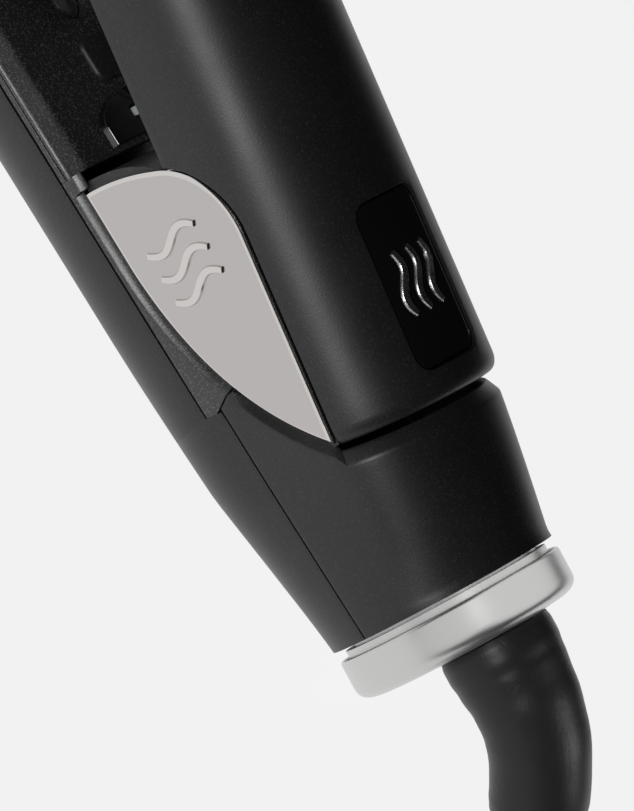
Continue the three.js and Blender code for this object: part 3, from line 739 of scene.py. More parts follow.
def spline(points: Sequence[Sequence[float]], step: float = 4.0) -> list[Vector]:
    """A smooth line through points given in mm, in even steps.

    Args:
        points: What it passes through.
        step: Distance between the points given back, in mm.

    Returns:
        Points in mm.
    """
    pts = [Vector(p) for p in points]
    pts = [pts[0] * 2 - pts[1], *pts, pts[-1] * 2 - pts[-2]]
    fine = []
    for a, b, c, d in zip(pts, pts[1:], pts[2:], pts[3:]):
        n = max(4, int((c - b).length))
        for i in range(n):
            t = i / n
            second = (2 * a - 5 * b + 4 * c - d) * t * t
            third = (3 * b - a - 3 * c + d) * t**3
            fine.append(0.5 * (2 * b + (c - a) * t + second + third))
    fine.append(pts[-2])
    return resample(fine, step)


def resample(line: Sequence[Vector], step: float) -> list[Vector]:
    """The same line in even steps.

    Args:
        line: Its points.
        step: Distance wanted between points.

    Returns:
        The new points, both ends kept.
    """
    total = sum((b - a).length for a, b in zip(line, line[1:]))
    count = max(2, round(total / step))
    out, walked, k = [line[0].copy()], 0.0, 0
    for i in range(1, count):
        want = total * i / count
        while walked + (line[k + 1] - line[k]).length < want:
            walked += (line[k + 1] - line[k]).length
            k += 1
        out.append(line[k].lerp(line[k + 1], (want - walked) / (line[k + 1] - line[k]).length))
    out.append(line[-1].copy())
    return out


@dataclass(frozen=True)
class Lead:
    """The lead: out of the boot, along the table, round a tied hank and into the plug. Sizes in mm."""

    length: float = 2600.0
    radius: float = 3.1
    near: float = 233.5
    far: float = 278.5
    middle: float = 12.4
    slots: tuple[float, float] = (18.6, 24.8)
    first_layer: float = 3.3
    layer_step: float = 6.1
    run: tuple[tuple[float, float, float], ...] = (
        (168.4, 0, 7.5), (173.6, 0, 5.0), (178.8, -0.2, 3.75), (184, -1.1, 3.35), (190, -3.3, 3.3),
        (196, -6.2, 3.3), (202, -9.1, 3.3), (208, -11.3, 3.3), (214.2, -12.35, 3.3), (223, -12.4, 3.3),
    )
    tail: tuple[tuple[float, float, float], ...] = (
        (286, -12.3, 9.2), (293, -11.6, 7.6), (299.5, -10.3, 5.2), (305, -7.8, 3.7), (311, -4.9, 3.3),
        (317, -2, 3.5), (323, 0.4, 4.3), (328.2, 1.6, 5.5),
    )
    squeeze: float = 0.1

    def turns(self) -> list[tuple[float, int]]:
        """Plan of the hank.

        Returns:
            Slot radius and layer of each turn, in order.
        """
        inner, outer = self.slots
        up = [(inner, k) for k in range(6)]
        return [(outer, 0), *up, *((outer, k) for k in range(5, 0, -1))]

    def loop(self, lap: float, radius: float) -> tuple[float, float]:
        """A point of a loop with round ends.

        Args:
            lap: Quarter laps from the start of the near run.
            radius: Distance from the middle line.

        Returns:
            Its x and y.
        """
        side, t = int(lap) % 4, lap % 1.0
        long = self.far - self.near
        if side == 0:
            return self.near + long * t, self.middle - radius
        if side == 2:
            return self.far - long * t, self.middle + radius
        end, turn = (self.far, -90.0) if side == 1 else (self.near, 90.0)
        a = math.radians(turn + 180 * t)
        return end + radius * math.cos(a), self.middle + radius * math.sin(a)

    def coil(self) -> list[tuple[float, float, float]]:
        """The hank's centreline.

        Returns:
            Its points in mm, from where the lead comes in to where it leaves.
        """
        plan, out = self.turns(), []
        steps = 8
        last = 4 * (len(plan) - 2) + 5
        for i in range(last * steps + 1):
            lap = i / steps
            k = max(0, min(len(plan) - 1, math.floor((lap - 2.0) / 4) + 1))
            here, before = plan[k], plan[max(0, k - 1)]
            t = ease(lap, 4 * (k - 1) + 2.05, 4 * (k - 1) + 2.95) if k else 1.0
            r = before[0] + (here[0] - before[0]) * t
            z = self.first_layer + self.layer_step * (before[1] + (here[1] - before[1]) * t)
            if int(lap) % 4 == 0:
                near_tie = 1 - self.squeeze * ease(min(lap % 1, 1 - lap % 1), 0.1, 0.45)
                middle = sum(self.slots) / 2
                r = middle + (r - middle) * near_tie
                centre = self.first_layer + self.layer_step * 2.5
                z = centre + (z - centre) * (1 - (1 - near_tie) * 0.5)
            out.append((*self.loop(lap, r), z))
        return out

    def path(self) -> list[Vector]:
        """The whole centreline.

        Returns:
            Points in metres.
        """
        points = [*self.run, *self.coil()[1:], *self.tail]
        line = [p * MM for p in spline(points, 4.0)]
        total = sum((b - a).length for a, b in zip(line, line[1:]))
        log.info("lead centreline %.3f m", total)
        return line

    def build(self, carried: Sequence[bpy.types.Object]) -> bpy.types.Object:
        """Args:
            carried: The pieces on it; not used.

        Returns:
            The lead.
        """
        path = self.path()
        piece = Piece("lead", LEAD, None, ("cord_run", "cord_coil", "cord_tail"), "lead_rubber")
        piece.rings(tube_rows(path, [self.radius] * len(path), 16), round_=True, caps=True)
        obj = piece.finish_mesh(angle=60)
        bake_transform(obj)
        return obj


@dataclass(frozen=True)
class Boot:
    """The moulded rubber boot that bends down from the swivel. Sizes in mm from the hinge pin."""

    line: tuple[Point, ...] = (
        (59.0, -2.6), (63.5, -2.96), (68, -3.5), (72.6, -5.2), (76.9, -8.4), (80.6, -12), (84, -14.7),
        (87.4, -16.75),
    )
    radii: tuple[Point, ...] = (
        (0, 7.3), (0.03, 7.5), (0.08, 7.5), (0.14, 7.25), (0.25, 6.85), (0.38, 6.55), (0.55, 6.35),
        (0.66, 6.3), (0.715, 6.1), (0.75, 5.2), (0.78, 4.5), (0.9, 4.15), (0.975, 3.85), (1.0, 3.5),
    )

    def build(self) -> bpy.types.Object:
        """Make the boot.

        Returns:
            The object.
        """
        path = [PIN + p * MM for p in spline([(x, 0, z) for x, z in self.line], 0.35)]
        radii = []
        for i in range(len(path)):
            t = i / (len(path) - 1)
            low = max(p for p in self.radii if p[0] <= t)
            high = min((p for p in self.radii if p[0] > t), default=low)
            radii.append(low[1] + (high[1] - low[1]) * (ease(t, low[0], high[0]) if high != low else 0))
        piece = Piece("boot", BOOT, Body.SWIVEL, ("cord_boot",), "boot_rubber")
        piece.rings(tube_rows(path, radii, 72), round_=True, caps=True)
        return piece.finish_mesh(angle=50)


@dataclass(frozen=True)
class Plug:
    """A plain two-pin plug lying on the table, its pins away from the iron. Sizes in mm."""

    x: float = 328.5
    y: float = 1.7
    pin_radius: float = 2.4
    stations: tuple[float, ...] = (0.2, 0.8, 3, 6, 9, 12, 14, 16, 18, 20, 23, 27, 31, 35, 36.6, 37.4, 37.7)
    ribs: int = 5

    def half_width(self, far: float) -> float:
        """Half the plug's width.

        Args:
            far: Distance from the end of its sleeve.

        Returns:
            The half width in mm.
        """
        if far <= 12:
            return 4.4 + far / 12 * 2.0
        return 6.4 + 9.0 * ease(far, 12, 21) + 2.0 * ramp(far, 21, 37)

    def height(self, far: float) -> Point:
        """Middle and half of the plug's thickness at a distance from the end of its sleeve."""
        full = ease(far, 0, 12)
        return 5.5 + 1.2 * full, 4.0 + 2.6 * full

    def build(self) -> list[bpy.types.Object]:
        """Make the plug's body with its grip ribs, and its pins.

        Returns:
            The objects.
        """
        rows = []
        for far in self.stations:
            end = 0.86 if far < 0.5 else 1.0 - 0.08 * ramp(far, 36.6, 37.7) ** 2
            middle, tall = self.height(far)
            half = self.half_width(far)
            ring = []
            for k in range(48):
                a = math.tau * k / 48
                c, s = math.cos(a), math.sin(a)
                across = end * half * math.copysign(abs(c) ** 0.5, c)
                up = end * tall * math.copysign(abs(s) ** 0.6, s)
                ring.append(Vector((self.x + far, self.y + across, middle + up)) * MM)
            rows.append(ring)
        body = Piece("plug", PLUG, Body.LOWER, ("plug_body",), "plug_plastic")
        body.rings(rows, round_=True, caps=True)
        made = [body.finish_mesh(bevel=0.4, angle=50), self._grip()]
        for node in ("plug_pin_left", "plug_pin_right"):
            low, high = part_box(node)
            centre = (low + high) / 2
            path = [
                Vector((x, centre.y, centre.z)) for x in (low.x, high.x - 0.0015, high.x - 0.0006, high.x)
            ]
            pin = Piece(node.replace("plug_", ""), BRASS, Body.LOWER, (node,), "brass")
            pin.rings(
                tube_rows(path, [self.pin_radius, self.pin_radius, 2.1, 1.3], 32), round_=True, caps=True
            )
            made.append(pin.finish_mesh(angle=30))
        return made

    def _grip(self) -> bpy.types.Object:
        """Raised ribs across the plug's upper face.

        Returns:
            The object.
        """
        piece = Piece("plug_grip", PLUG, Body.LOWER, (), "plug_plastic")
        for k in range(self.ribs):
            x = self.x + 22 + 2.6 * k
            rows = []
            for y in (-9.0, -8.2, 0.0, 8.2, 9.0):
                tall = 0.1 if abs(y) > 8.5 else 0.45
                profile = (
                    (-0.7, -0.4), (-0.62, 0.1 * tall), (-0.3, tall - 0.1), (0.3, tall - 0.1),
                    (0.62, 0.1 * tall), (0.7, -0.4),
                )
                rows.append([Vector((x + dx, self.y + y, 12.95 + dz)) * MM for dx, dz in profile])
            piece.rings(rows, round_=True, caps=True)
        return piece.finish_mesh(angle=40)


# ---------------------------------------------------------------- shells


@dataclass(frozen=True)
class Arch:
    """Cross-section of a shell: straight sides running into a full arch. Sizes in mm."""

    half: float = 15.5
    spring: float = 8.6
    rise: float = 14.2
    power: float = 2.2

    def curve(self, base: float, n: int = 30) -> list[Point]:
        """The section from one side's base over the crown to the other's.

        Args:
            base: Height where it starts.
            n: Points in half of it, evenly spaced.

        Returns:
            Points (y, s).
        """
        side = [(self.half, self.spring - 20 + i) for i in range(20)]
        for i in range(81):
            a = math.pi / 2 * i / 80
            across = self.half * math.cos(a) ** (2 / self.power)
            side.append((across, self.spring + self.rise * math.sin(a) ** (2 / self.power)))
        line = [Vector((0, *p)) for p in side]
        k = next(i for i, p in enumerate(line) if p.z > base)
        t = (base - line[k - 1].z) / (line[k].z - line[k - 1].z)
        rest = [line[k - 1].lerp(line[k], t), *line[k:]]
        length = sum((b - a).length for a, b in zip(rest, rest[1:]))
        half = [(p.y, p.z) for p in resample(rest, length / n)]
        return half + [(-y, s) for y, s in reversed(half[:-1])]


# Height of an arm's crown over its axis, in mm.
CROWN = 22.8
# Where the arms end, in mm from the hinge pin.
NOSE_END = -221.0
# Where the nose begins to narrow.
NOSE_FLAT = -209.0
# Where the nose begins to drop.
NOSE_FALL = -197.0
# Where the outer shells begin, behind the cool noses.
SHELL_START = -214.2


def nose_scale(x: float) -> float:
    """Thickness of an arm at x over its thickness at the handle."""
    return 1 - 0.2 * ramp(-x, 121, 221) ** 1.3


def nose_plan(x: float) -> float:
    """Width of the arm at x over its full width, seen from above."""
    return math.sqrt(max(0.0, 1 - max(0.0, (NOSE_FLAT - x) / (NOSE_FLAT - NOSE_END)) ** 2))


def nose_crown(x: float) -> float:
    """Height of the rounded nose over the arm's crown.

    Args:
        x: Place along the arm.

    Returns:
        The share, 1 where the nose hasn't begun.
    """
    if x >= NOSE_FALL:
        return 1.0
    t = math.sqrt(max(0.0, (x - NOSE_END) / (NOSE_FALL - NOSE_END)))
    high = (1 - t) ** 2 * 6 + 2 * t * (1 - t) * 16.87 + t * t * 22.9
    return min(1.0, high / (CROWN * nose_scale(x)))


@dataclass(frozen=True)
class Arm:
    """What the two arms share: their section and how it runs out in the nose."""

    axes: Axes
    arch: Arch = Arch()
    inner: float = 5.2
    parting: float = 8.6

    def row(self, x: float, base: float, inset: float = 0.0) -> list[tuple[float, float, float]]:
        """One section of the arm in its own axes.

        Args:
            x: Place along the arm.
            base: Height where the section starts, before the nose slims it.
            inset: How far the section is drawn in, for a rounded end.

        Returns:
            Points (x, y, s) in mm.
        """
        wide, high, slim = nose_plan(x), nose_crown(x), nose_scale(x)
        shrink = (self.arch.half - inset) / self.arch.half
        out = []
        for y, s in self.arch.curve(base):
            low = base + (s - base) * (1 - inset / max(1.0, CROWN - base))
            s = low * slim
            edge = base * slim
            s = edge + (s - edge) * max(0.02, (CROWN * slim * high - edge) / (CROWN * slim - edge))
            out.append((x, y * wide * shrink, s))
        return out

    def tip(self, name: str, body: Body, node: str) -> bpy.types.Object:
        """The cool nose of the arm.

        Args:
            name: The piece's name.
            body: What it rides on.
            node: The CAD node it stands for.

        Returns:
            The object.
        """
        rows = []
        for i in range(15):
            x = -220.93 + 6.43 * (i / 14) ** 1.6
            rows.append([self.axes.at(*p) for p in self.row(x, 3.5)])
        piece = Piece(name, HEATPROOF, body, (node,), "heat_plastic")
        piece.rings(rows, round_=True, caps=True)
        return piece.finish_mesh(bevel=0.35, angle=45)


@dataclass(frozen=True)
class UpperShell:
    """Outer shell of the upper arm, swept clear of the hinge and closed at its tail."""

    arm: Arm
    sweep: float = 11.5
    sweep_at: float = 1.5
    over: float = 13.0
    tail: float = 28.1
    tail_round: float = 2.0

    def build(self, window: bpy.types.Object) -> bpy.types.Object:
        """Make the shell.

        Args:
            window: The shape of the badge's opening.

        Returns:
            The object.
        """
        arm = self.arm
        stations = [(SHELL_START + 17.2 * (i / 12), arm.parting) for i in range(12)]
        stations += [(NOSE_FALL + 80 * i / 16, arm.parting) for i in range(17)]
        stations[-1] = (-116.85, arm.parting)
        stations += [(-116.55, arm.inner)] + [(-116.55 + 105.5 * i / 20, arm.inner) for i in range(1, 20)]
        start = 180 - math.degrees(math.asin((arm.inner - self.sweep_at) / self.sweep))
        stations += [(x, s) for x, s in arc(0, self.sweep_at, self.sweep, start, 90, 16)]
        last = self.tail - self.tail_round
        stations += [(last * i / 12, self.over) for i in range(1, 13)]
        rows = [arm.row(x, base) for x, base in stations]
        for i in range(1, 7):
            a = math.pi / 2 * i / 6
            inset = 0.6 * self.tail_round * (1 - math.cos(a))
            rows.append(arm.row(last + self.tail_round * math.sin(a), self.over, inset))
        piece = Piece("upper_shell", SOFT, Body.UPPER, ("upper_outer_shell",), "soft_shell")
        piece.rings([[arm.axes.at(*p) for p in row] for row in rows])
        n = len(rows[0])
        piece.faces.append(tuple(range((len(rows) - 1) * n, len(rows) * n)))
        return piece.finish_mesh(thickness=2.0, bevel=0.3, angle=50, cutters=[window])


def pulled(
    point: tuple[float, float, float], centre: float, radius: float = 15.2
) -> tuple[float, float, float]:
    """Draw a point of the tail onto the collar's round, the more the nearer it is.

    Args:
        point: (x, y, height) in mm.
        centre: Height of the collar's middle.
        radius: The collar's radius.

    Returns:
        The point moved.
    """
    x, y, s = point
    pull = ramp(x, 26, 51.1) ** 1.2
    away = math.hypot(y, s - centre)
    grow = 1 + pull * (radius / max(away, 0.01) - 1)
    return x, y * grow, centre + (s - centre) * grow


@dataclass(frozen=True)
class LowerShell:
    """Outer shell of the lower arm, which slims towards the collar."""

    arm: Arm
    seam: float = 18.4
    rear_base: float = 5.7
    slim_from: float = 4.0
    slim_share: float = 14.0 / 17.1
    groove: float = 1.4

    def rear(self, point: tuple[float, float, float]) -> tuple[float, float, float]:
        """Slim a point and round it towards the collar.

        Args:
            point: (x, y, s) in mm.

        Returns:
            The point moved, its x drawn to the tilted end.
        """
        x, y, s = point
        if s > self.rear_base:
            slimmed = (1 - self.slim_share) * ramp(x, self.slim_from, COLLAR_X) ** 1.5
            s = self.rear_base + (s - self.rear_base) * (1 - slimmed)
        x, y, s = pulled((x, y, s), -1.5 - COLLAR_Z)
        rise = -1.5 - s - COLLAR_Z
        end = COLLAR_X + (-self.groove + rise * math.sin(TAIL_TILT)) / math.cos(TAIL_TILT)
        if x > 40:
            x = 40 + (x - 40) * (end - 40) / (COLLAR_X - self.groove - 40)
        return x, y, s

    def build(self) -> bpy.types.Object:
        """Make the shell.

        Returns:
            The object.
        """
        arm = self.arm
        stations = [(SHELL_START + 17.2 * (i / 12), arm.parting) for i in range(12)]
        stations += [(NOSE_FALL + 215 * i / 44, arm.parting) for i in range(45)]
        tail = COLLAR_X - self.groove - self.seam
        stations += [(self.seam + tail * i / 22, self.rear_base) for i in range(23)]
        rows = [[self.rear(p) for p in arm.row(x, base)] for x, base in stations]
        piece = Piece("lower_shell", SOFT, Body.LOWER, ("lower_outer_shell",), "soft_shell")
        piece.rings([[arm.axes.at(*p) for p in row] for row in rows])
        return piece.finish_mesh(thickness=2.0, bevel=0.3, angle=50)


# ---------------------------------------------------------------- hinge outlines


@dataclass(frozen=True)
class Leaf:
    """Leaf outline of the side insert about the hinge pin. Sizes in mm."""

    radius: float = 11.0
    meets: float = 19.0
    point: float = 29.3

    def lower(self, margin: float = 0.0, n: int = 30) -> list[Point]:
        """The curve from the leaf's point forward along the bottom.

        Args:
            margin: How far the leaf is grown.
            n: How many points.

        Returns:
            Points (x, z).
        """
        top = (self.radius + margin) * math.cos(OPEN_ANGLE)
        lean = (self.radius + margin) * math.sin(OPEN_ANGLE)
        tip = self.point + margin * 1.6
        start = (tip, top - (tip - lean) * math.tan(OPEN_ANGLE))
        return [start, *quad(start, (17.5 + margin * 0.4, -7.5 - margin), (-2, -8 - margin), n)]

    def outline(self, margin: float = 0.0) -> list[Point]:
        """The whole outline.

        Args:
            margin: How far it is grown, or drawn in when negative.

        Returns:
            Points (x, z), anticlockwise seen from -y turned about.
        """
        r = self.radius + margin
        a = math.radians(self.meets)
        first = (-13 - margin, -7.9 - margin)
        nose = quad(first, (-12.6 - margin, -2), (-r * math.cos(a), r * math.sin(a)), 16)
        round_ = arc(0, 0, r, 180 - self.meets, 90 - math.degrees(OPEN_ANGLE), 48)[1:]
        lower = self.lower(margin, 40)
        edge = straight(round_[-1], lower[0], 12)
        return [first, *nose, *round_, *edge, *lower[1:], *straight(lower[-1], first, 6)[:-1]]


LEAF = Leaf()


@dataclass(frozen=True)
class Housing:
    """Top of the tail, from the hinge to the collar. Sizes in mm about the hinge pin."""

    arch: Arch = Arch(spring=2.6, rise=12.3, power=2.15)
    floor: float = -7.2
    low: float = -6.9
    tail_gap: float = 28.8
    rim: tuple[Point, ...] = ((0.0, 1.25), (0.25, 1.05), (0.5, 0.92), (1.75, 0.16), (2.05, 0.02), (2.4, 0.0))
    groove: float = 1.4

    def front(self, z: float) -> float:
        """Where the housing starts at height z.

        Args:
            z: Height above the pin.

        Returns:
            Its x.
        """
        if z > 5.2:
            return (self.tail_gap + z * math.sin(OPEN_ANGLE)) / math.cos(OPEN_ANGLE)
        seam = 15.0 - 3.5 * z / 7.9
        curve = LEAF.lower(0.35, 60)
        for a, b in zip(curve, curve[1:]):
            if b[1] <= z <= a[1]:
                t = (a[1] - z) / (a[1] - b[1])
                return max(seam, a[0] + (b[0] - a[0]) * t)
        return seam

    def point(self, x: float, y: float, z: float, inset: float = 0.0) -> Vector:
        """Place a point of the section.

        Args:
            x: Along the iron.
            y: Across it.
            z: Height in the front section.
            inset: How far it is drawn in.

        Returns:
            The point in metres.
        """
        inset *= ease(z, -4.6, -3.0)
        z -= inset * ramp(z, 3, 12)
        y *= (self.arch.half - inset) / self.arch.half
        x, y, z = pulled((x, y, z), COLLAR_Z)
        return HINGE.at(x, y, z)

    def build(self) -> bpy.types.Object:
        """Make the housing.

        Returns:
            The object.
        """
        columns = []
        for y, z in self.arch.curve(self.low, 44):
            front = self.front(z)
            end = (self.point(51.1, y, z) - HINGE.origin) / MM
            back = COLLAR_X + (-self.groove + (end.z - COLLAR_Z) * math.sin(TAIL_TILT)) / math.cos(TAIL_TILT)
            column = [self.point(front + step, y, z, inset) for step, inset in self.rim]
            start = front + self.rim[-1][0]
            column += [self.point(start + (back - start) * t, y, z) for t in (i / 24 for i in range(1, 25))]
            columns.append(column)
        piece = Piece("rear_housing", SOFT, Body.LOWER, ("rear_top_shell",), "soft_shell")
        piece.rings(columns)
        return piece.finish_mesh(thickness=1.8, bevel=0.25, angle=50)


# ---------------------------------------------------------------- hinge and fittings


@dataclass(frozen=True)
class Insert:
    """Metal leaf let into the side of the hinge, with three raised heat waves. Sizes in mm."""

    side: int
    node: str
    back: float = 14.5
    edge: float = 14.98
    face: float = 15.18
    bevel: float = 0.7
    wave_top: float = 15.5
    wave_at: Point = (1.0, 0.5)
    wave_steps: int = 40

    def build(self) -> list[bpy.types.Object]:
        """Make the leaf and its waves.

        Returns:
            The objects.
        """
        side = self.side
        label = "left" if side < 0 else "right"
        steps = [(0.0, self.back), (0.0, self.edge - 0.12), (-0.05, self.edge)]
        steps += [
            (-self.bevel * t, self.edge + (self.face - self.edge) * math.sin(math.pi / 2 * t))
            for t in (0.3, 0.6, 0.85, 1.0)
        ]
        rows = [[HINGE.at(x, side * y, z) for x, z in LEAF.outline(margin)] for margin, y in steps]
        piece = Piece(f"insert_{label}", INSERT, Body.LOWER, (self.node,), "insert_metal")
        piece.rings(rows, round_=True, caps=True)
        plate = piece.finish_mesh(angle=24)
        plate.data.materials.append(RIM.material())
        for face in plate.data.polygons:
            face.material_index = 0 if abs(face.normal.y) > 0.985 else 1
        return [plate, self._waves(label)]

    def _waves(self, label: str) -> bpy.types.Object:
        """Three rising waves, the sign for heat.

        Args:
            label: Which side it is on.

        Returns:
            The object.
        """
        steps = self.wave_steps
        across, up = self.wave_at
        piece = Piece(f"heat_waves_{label}", RIM, Body.LOWER, (), "insert_metal")
        for middle in (-3.3, 0.0, 3.3):
            line = [
                (middle + 0.95 * math.sin(math.tau * t), -4.6 + 9.2 * t)
                for t in (i / steps for i in range(steps + 1))
            ]
            rows = []
            for depth, half in (
                (self.face - 0.2, 0.62),
                (self.face + 0.05, 0.6),
                (self.wave_top - 0.03, 0.46),
                (self.wave_top, 0.38),
            ):
                left, right = [], []
                for i, (x, z) in enumerate(line):
                    a, b = line[max(0, i - 1)], line[min(steps, i + 1)]
                    taper = math.sin(math.pi * (0.12 + 0.76 * i / steps)) ** 0.35
                    away = Vector((-(b[1] - a[1]), b[0] - a[0])).normalized() * half * taper
                    left.append((x + away.x, z + away.y))
                    right.append((x - away.x, z - away.y))
                rows.append([HINGE.at(across + x, self.side * depth, up + z) for x, z in left + right[::-1]])
            part = Piece("part", RIM, None)
            part.rings(rows, round_=True)
            base, n = len(part.verts) - len(rows[0]), len(line)
            part.faces += [
                (base + i, base + i + 1, base + 2 * n - 2 - i, base + 2 * n - 1 - i) for i in range(n - 1)
            ]
            start = len(piece.verts)
            piece.verts += part.verts
            piece.faces += [tuple(start + v for v in f) for f in part.faces]
        return piece.finish_mesh(angle=30)


@dataclass(frozen=True)
class Strip:
    """Inner face of the lower arm, its rounded edges and the wings that run on under the inserts."""

    axes: Axes
    section: tuple[Point, ...] = ((15.4, 8.3), (15.4, 7.62), (15.12, 7.5), (15.12, 7.38), (15.33, 7.26))
    start: float = -116.7
    end: float = -15.7
    seam_top: float = 16.6
    seam_lean: float = 0.443

    def build(self) -> bpy.types.Object:
        """Make the face and the two wings.

        Returns:
            The object.
        """
        half = [
            *self.section,
            *quad(self.section[-1], (15.3, 7.0), (14.9, 6.7), 5),
            *straight((14.9, 6.7), (13.4, 5.45), 4),
        ]
        half += quad((13.4, 5.45), (13.1, 5.2), (12.3, 5.2), 5)
        ring = half + [(-y, s) for y, s in reversed(half)]
        ring += [(-12.4, 8.3), (-12.1, 7.1), (12.1, 7.1), (12.4, 8.3)]
        piece = Piece("inner_face", STRIP, Body.LOWER, ("lower_inner_shell",), "textured_plastic")
        rows = [
            [self.axes.at(self.start + (self.end - self.start) * i / 20, y, s) for y, s in ring]
            for i in range(21)
        ]
        piece.rings(rows, round_=True, caps=True)
        wells = Piece("wells", STRIP, None)
        for node in ("lower_screw_front", "lower_screw_rear"):
            middle = (node_centre(node) - self.axes.origin) / MM
            ring = arc(middle.x, 0, 2.9, 0, 360, 32)[:-1]
            wells.rings(
                [[self.axes.at(x, y, s) for x, y in ring] for s in (3.0, 7.0)], round_=True, caps=True
            )
        cutter = wells.finish_mesh()
        made = piece.finish_mesh(bevel=0.12, angle=32, cutters=[cutter])
        for side in (-1, 1):
            self._wing(side)
        return made

    def _wing(self, side: int) -> bpy.types.Object:
        """The strip's run under one insert, its edge rounded over.

        Args:
            side: Which side of the arm.

        Returns:
            The object.
        """
        lower = [(x, -1.5 - z) for x, z in reversed(LEAF.lower(0.35, 40))]
        edge = [
            (-15.7, 5.5),
            (-14.6, 5.5),
            (-13.6, 5.6),
            (-13.35, 6.75),
            *straight((-13.35, 6.75), (-2, 6.85), 8)[:-1],
            *lower,
        ]
        piece = Piece(
            f"side_strip_{'left' if side > 0 else 'right'}", STRIP, Body.LOWER, (), "textured_plastic"
        )
        rows = []
        for x, high in (p for p in edge if p[0] <= self.seam_top):
            lean = self.seam_lean * ramp(x, 6, self.seam_top)
            profile = (
                (14.6, 8.3), (15.4, 8.3), (15.4, high + 1.1), (15.28, high + 0.85), (14.7, high + 0.12),
                (14.5, high),
            )
            rows.append([self.axes.at(x + (t - high) * lean, side * y, t) for y, t in profile])
        piece.rings(rows, round_=True, caps=True)
        return piece.finish_mesh(angle=45)


@dataclass(frozen=True)
class Controls:
    """The gloss island, its lens and the power button between the arms."""

    axes: Axes

    def _block(
        self, name: str, finish: Finish, body: Body, node: str, outline: Sequence[Point], low: float,
        high: float, crown: float,
    ) -> Piece:
        """A flat-topped block standing off the inner face.

        Args:
            name: The piece's name.
            finish: Its finish.
            body: What it rides on.
            node: The CAD node it stands for.
            outline: Its outline in x, y.
            low: Height of the top, nearer the other arm.
            high: Height of its foot.
            crown: How much its rim is rounded.

        Returns:
            The piece, not yet finished.
        """
        piece = Piece(name, finish, body, (node,), "")
        middle = sum(x for x, _ in outline) / len(outline)
        rows = [[self.axes.at(x, y, high) for x, y in outline]]
        for i in range(5):
            a = math.pi / 2 * i / 4
            shrink = crown * (1 - math.cos(a))
            ring = []
            for x, y in outline:
                away = Vector((x - middle, y))
                away = away * max(0.0, 1 - shrink / max(away.length, 0.01))
                ring.append(self.axes.at(middle + away.x, away.y, low + crown * (1 - math.sin(a))))
            rows.append(ring)
        piece.rings(rows, round_=True, caps=True)
        return piece

    def build(self) -> list[bpy.types.Object]:
        """Make the three pieces.

        Returns:
            The objects.
        """
        island = [(-16.5, 7.4), *straight((-16.5, 7.4), (-19, 7.4), 4)]
        island += [
            (-19 + 4 * math.cos(a), 7.4 * math.sin(a))
            for a in (math.pi / 2 + math.pi * i / 32 for i in range(1, 33))
        ]
        island += straight((-19, -7.4), (-16.5, -7.4), 4)
        pit = Piece("pit", GLOSS, None)
        pit.rings(
            [[self.axes.at(x, y, s) for x, y in rounded_box(-20.35, -18.65, 2.4, 0.6)] for s in (3.0, 5.8)],
            round_=True,
            caps=True,
        )
        base = self._block("control_base", GLOSS, Body.LOWER, "control_island", island, 4.1, 8.0, 0.35)
        made = [base.finish_mesh(angle=30, cutters=[pit.finish_mesh()])]
        lens = self._block(
            "lens", LENS, Body.LOWER, "status_lens", rounded_box(-20.1, -18.9, 2.1, 0.45), 4.5, 5.5, 0.2
        )
        made.append(lens.finish_mesh(angle=40))
        key = self._block(
            "key", ROUGH, Body.KEY, "power_button", rounded_box(-30.8, -24.4, 3.2, 1.6), 4.6, 8.6, 0.6
        )
        key.slot = "textured_plastic"
        made.append(key.finish_mesh(angle=40))
        return made


@dataclass(frozen=True)
class Collar:
    """The turned metal end of the iron, with its off-centre mouth and its bore. Radii and heights in mm."""

    profile: tuple[Point, ...] = (
        (10.8, -6.0), (12.6, -6.0), (12.6, -0.9), (13.9, -0.9), (13.9, -0.02), (14.75, 0.0),
        (15.0, 0.08), (15.15, 0.25), (15.2, 0.45), (15.2, 3.7), (15.15, 4.2), (15.0, 4.65),
        (14.7, 5.05), (14.2, 5.4), (13.6, 5.62), (12.9, 5.74), (12.2, 5.8),
    )
    mouth: tuple[Point, ...] = ((8.55, 5.8), (8.3, 5.5), (8.3, 2.6))
    bore: float = 10.8
    floor: float = 2.6
    raised: float = 3.9
    turns: int = 128

    def _ring(self, r: float, x: float, raised: float = 0.0) -> Row:
        """One ring of the collar.

        Args:
            r: Its radius.
            x: Its place along the tail.
            raised: How far its middle lies above the tail's.

        Returns:
            Its points.
        """
        angles = [math.tau * k / self.turns for k in range(self.turns)]
        return [REAR.at(x, r * math.cos(a), raised + r * math.sin(a)) for a in angles]

    def build(self) -> list[bpy.types.Object]:
        """Make the collar.

        Returns:
            The objects.
        """
        rows = [self._ring(r, x) for r, x in self.profile]
        rows += [self._ring(r, x, self.raised) for r, x in self.mouth]
        rows.append(self._ring(self.bore, self.floor))
        piece = Piece("collar", COLLAR, Body.LOWER, ("end_collar",), "collar_metal")
        piece.rings(rows, round_=True, closed=True)
        return [piece.finish_mesh(angle=28)]


@dataclass(frozen=True)
class Refined:
    """A CAD node's own shape with its edges rounded and its finish laid on."""

    node: str
    finish: Finish
    bevel: float = 0.0

    def build(self) -> bpy.types.Object:
        """Copy, round and dress the node.

        Returns:
            The object.
        """
        source = frame["nodes"][self.node]
        body = next(name for name, b in frame["bodies"].items() if source.parent == b)
        bm = bmesh.new()
        bm.from_mesh(source.data)
        bm.transform(source.matrix_world)
        bmesh.ops.remove_doubles(bm, verts=bm.verts, dist=2e-6)
        bmesh.ops.dissolve_limit(bm, angle_limit=math.radians(1.0), verts=bm.verts, edges=bm.edges)
        bm.verts.ensure_lookup_table()
        piece = Piece(self.node + "_piece", self.finish, None, (self.node,), self.finish.name)
        piece.verts = [v.co.copy() for v in bm.verts]
        piece.faces = [tuple(v.index for v in f.verts) for f in bm.faces]
        bm.free()
        made = piece.finish_mesh(bevel=self.bevel, angle=32)
        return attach(made, body)


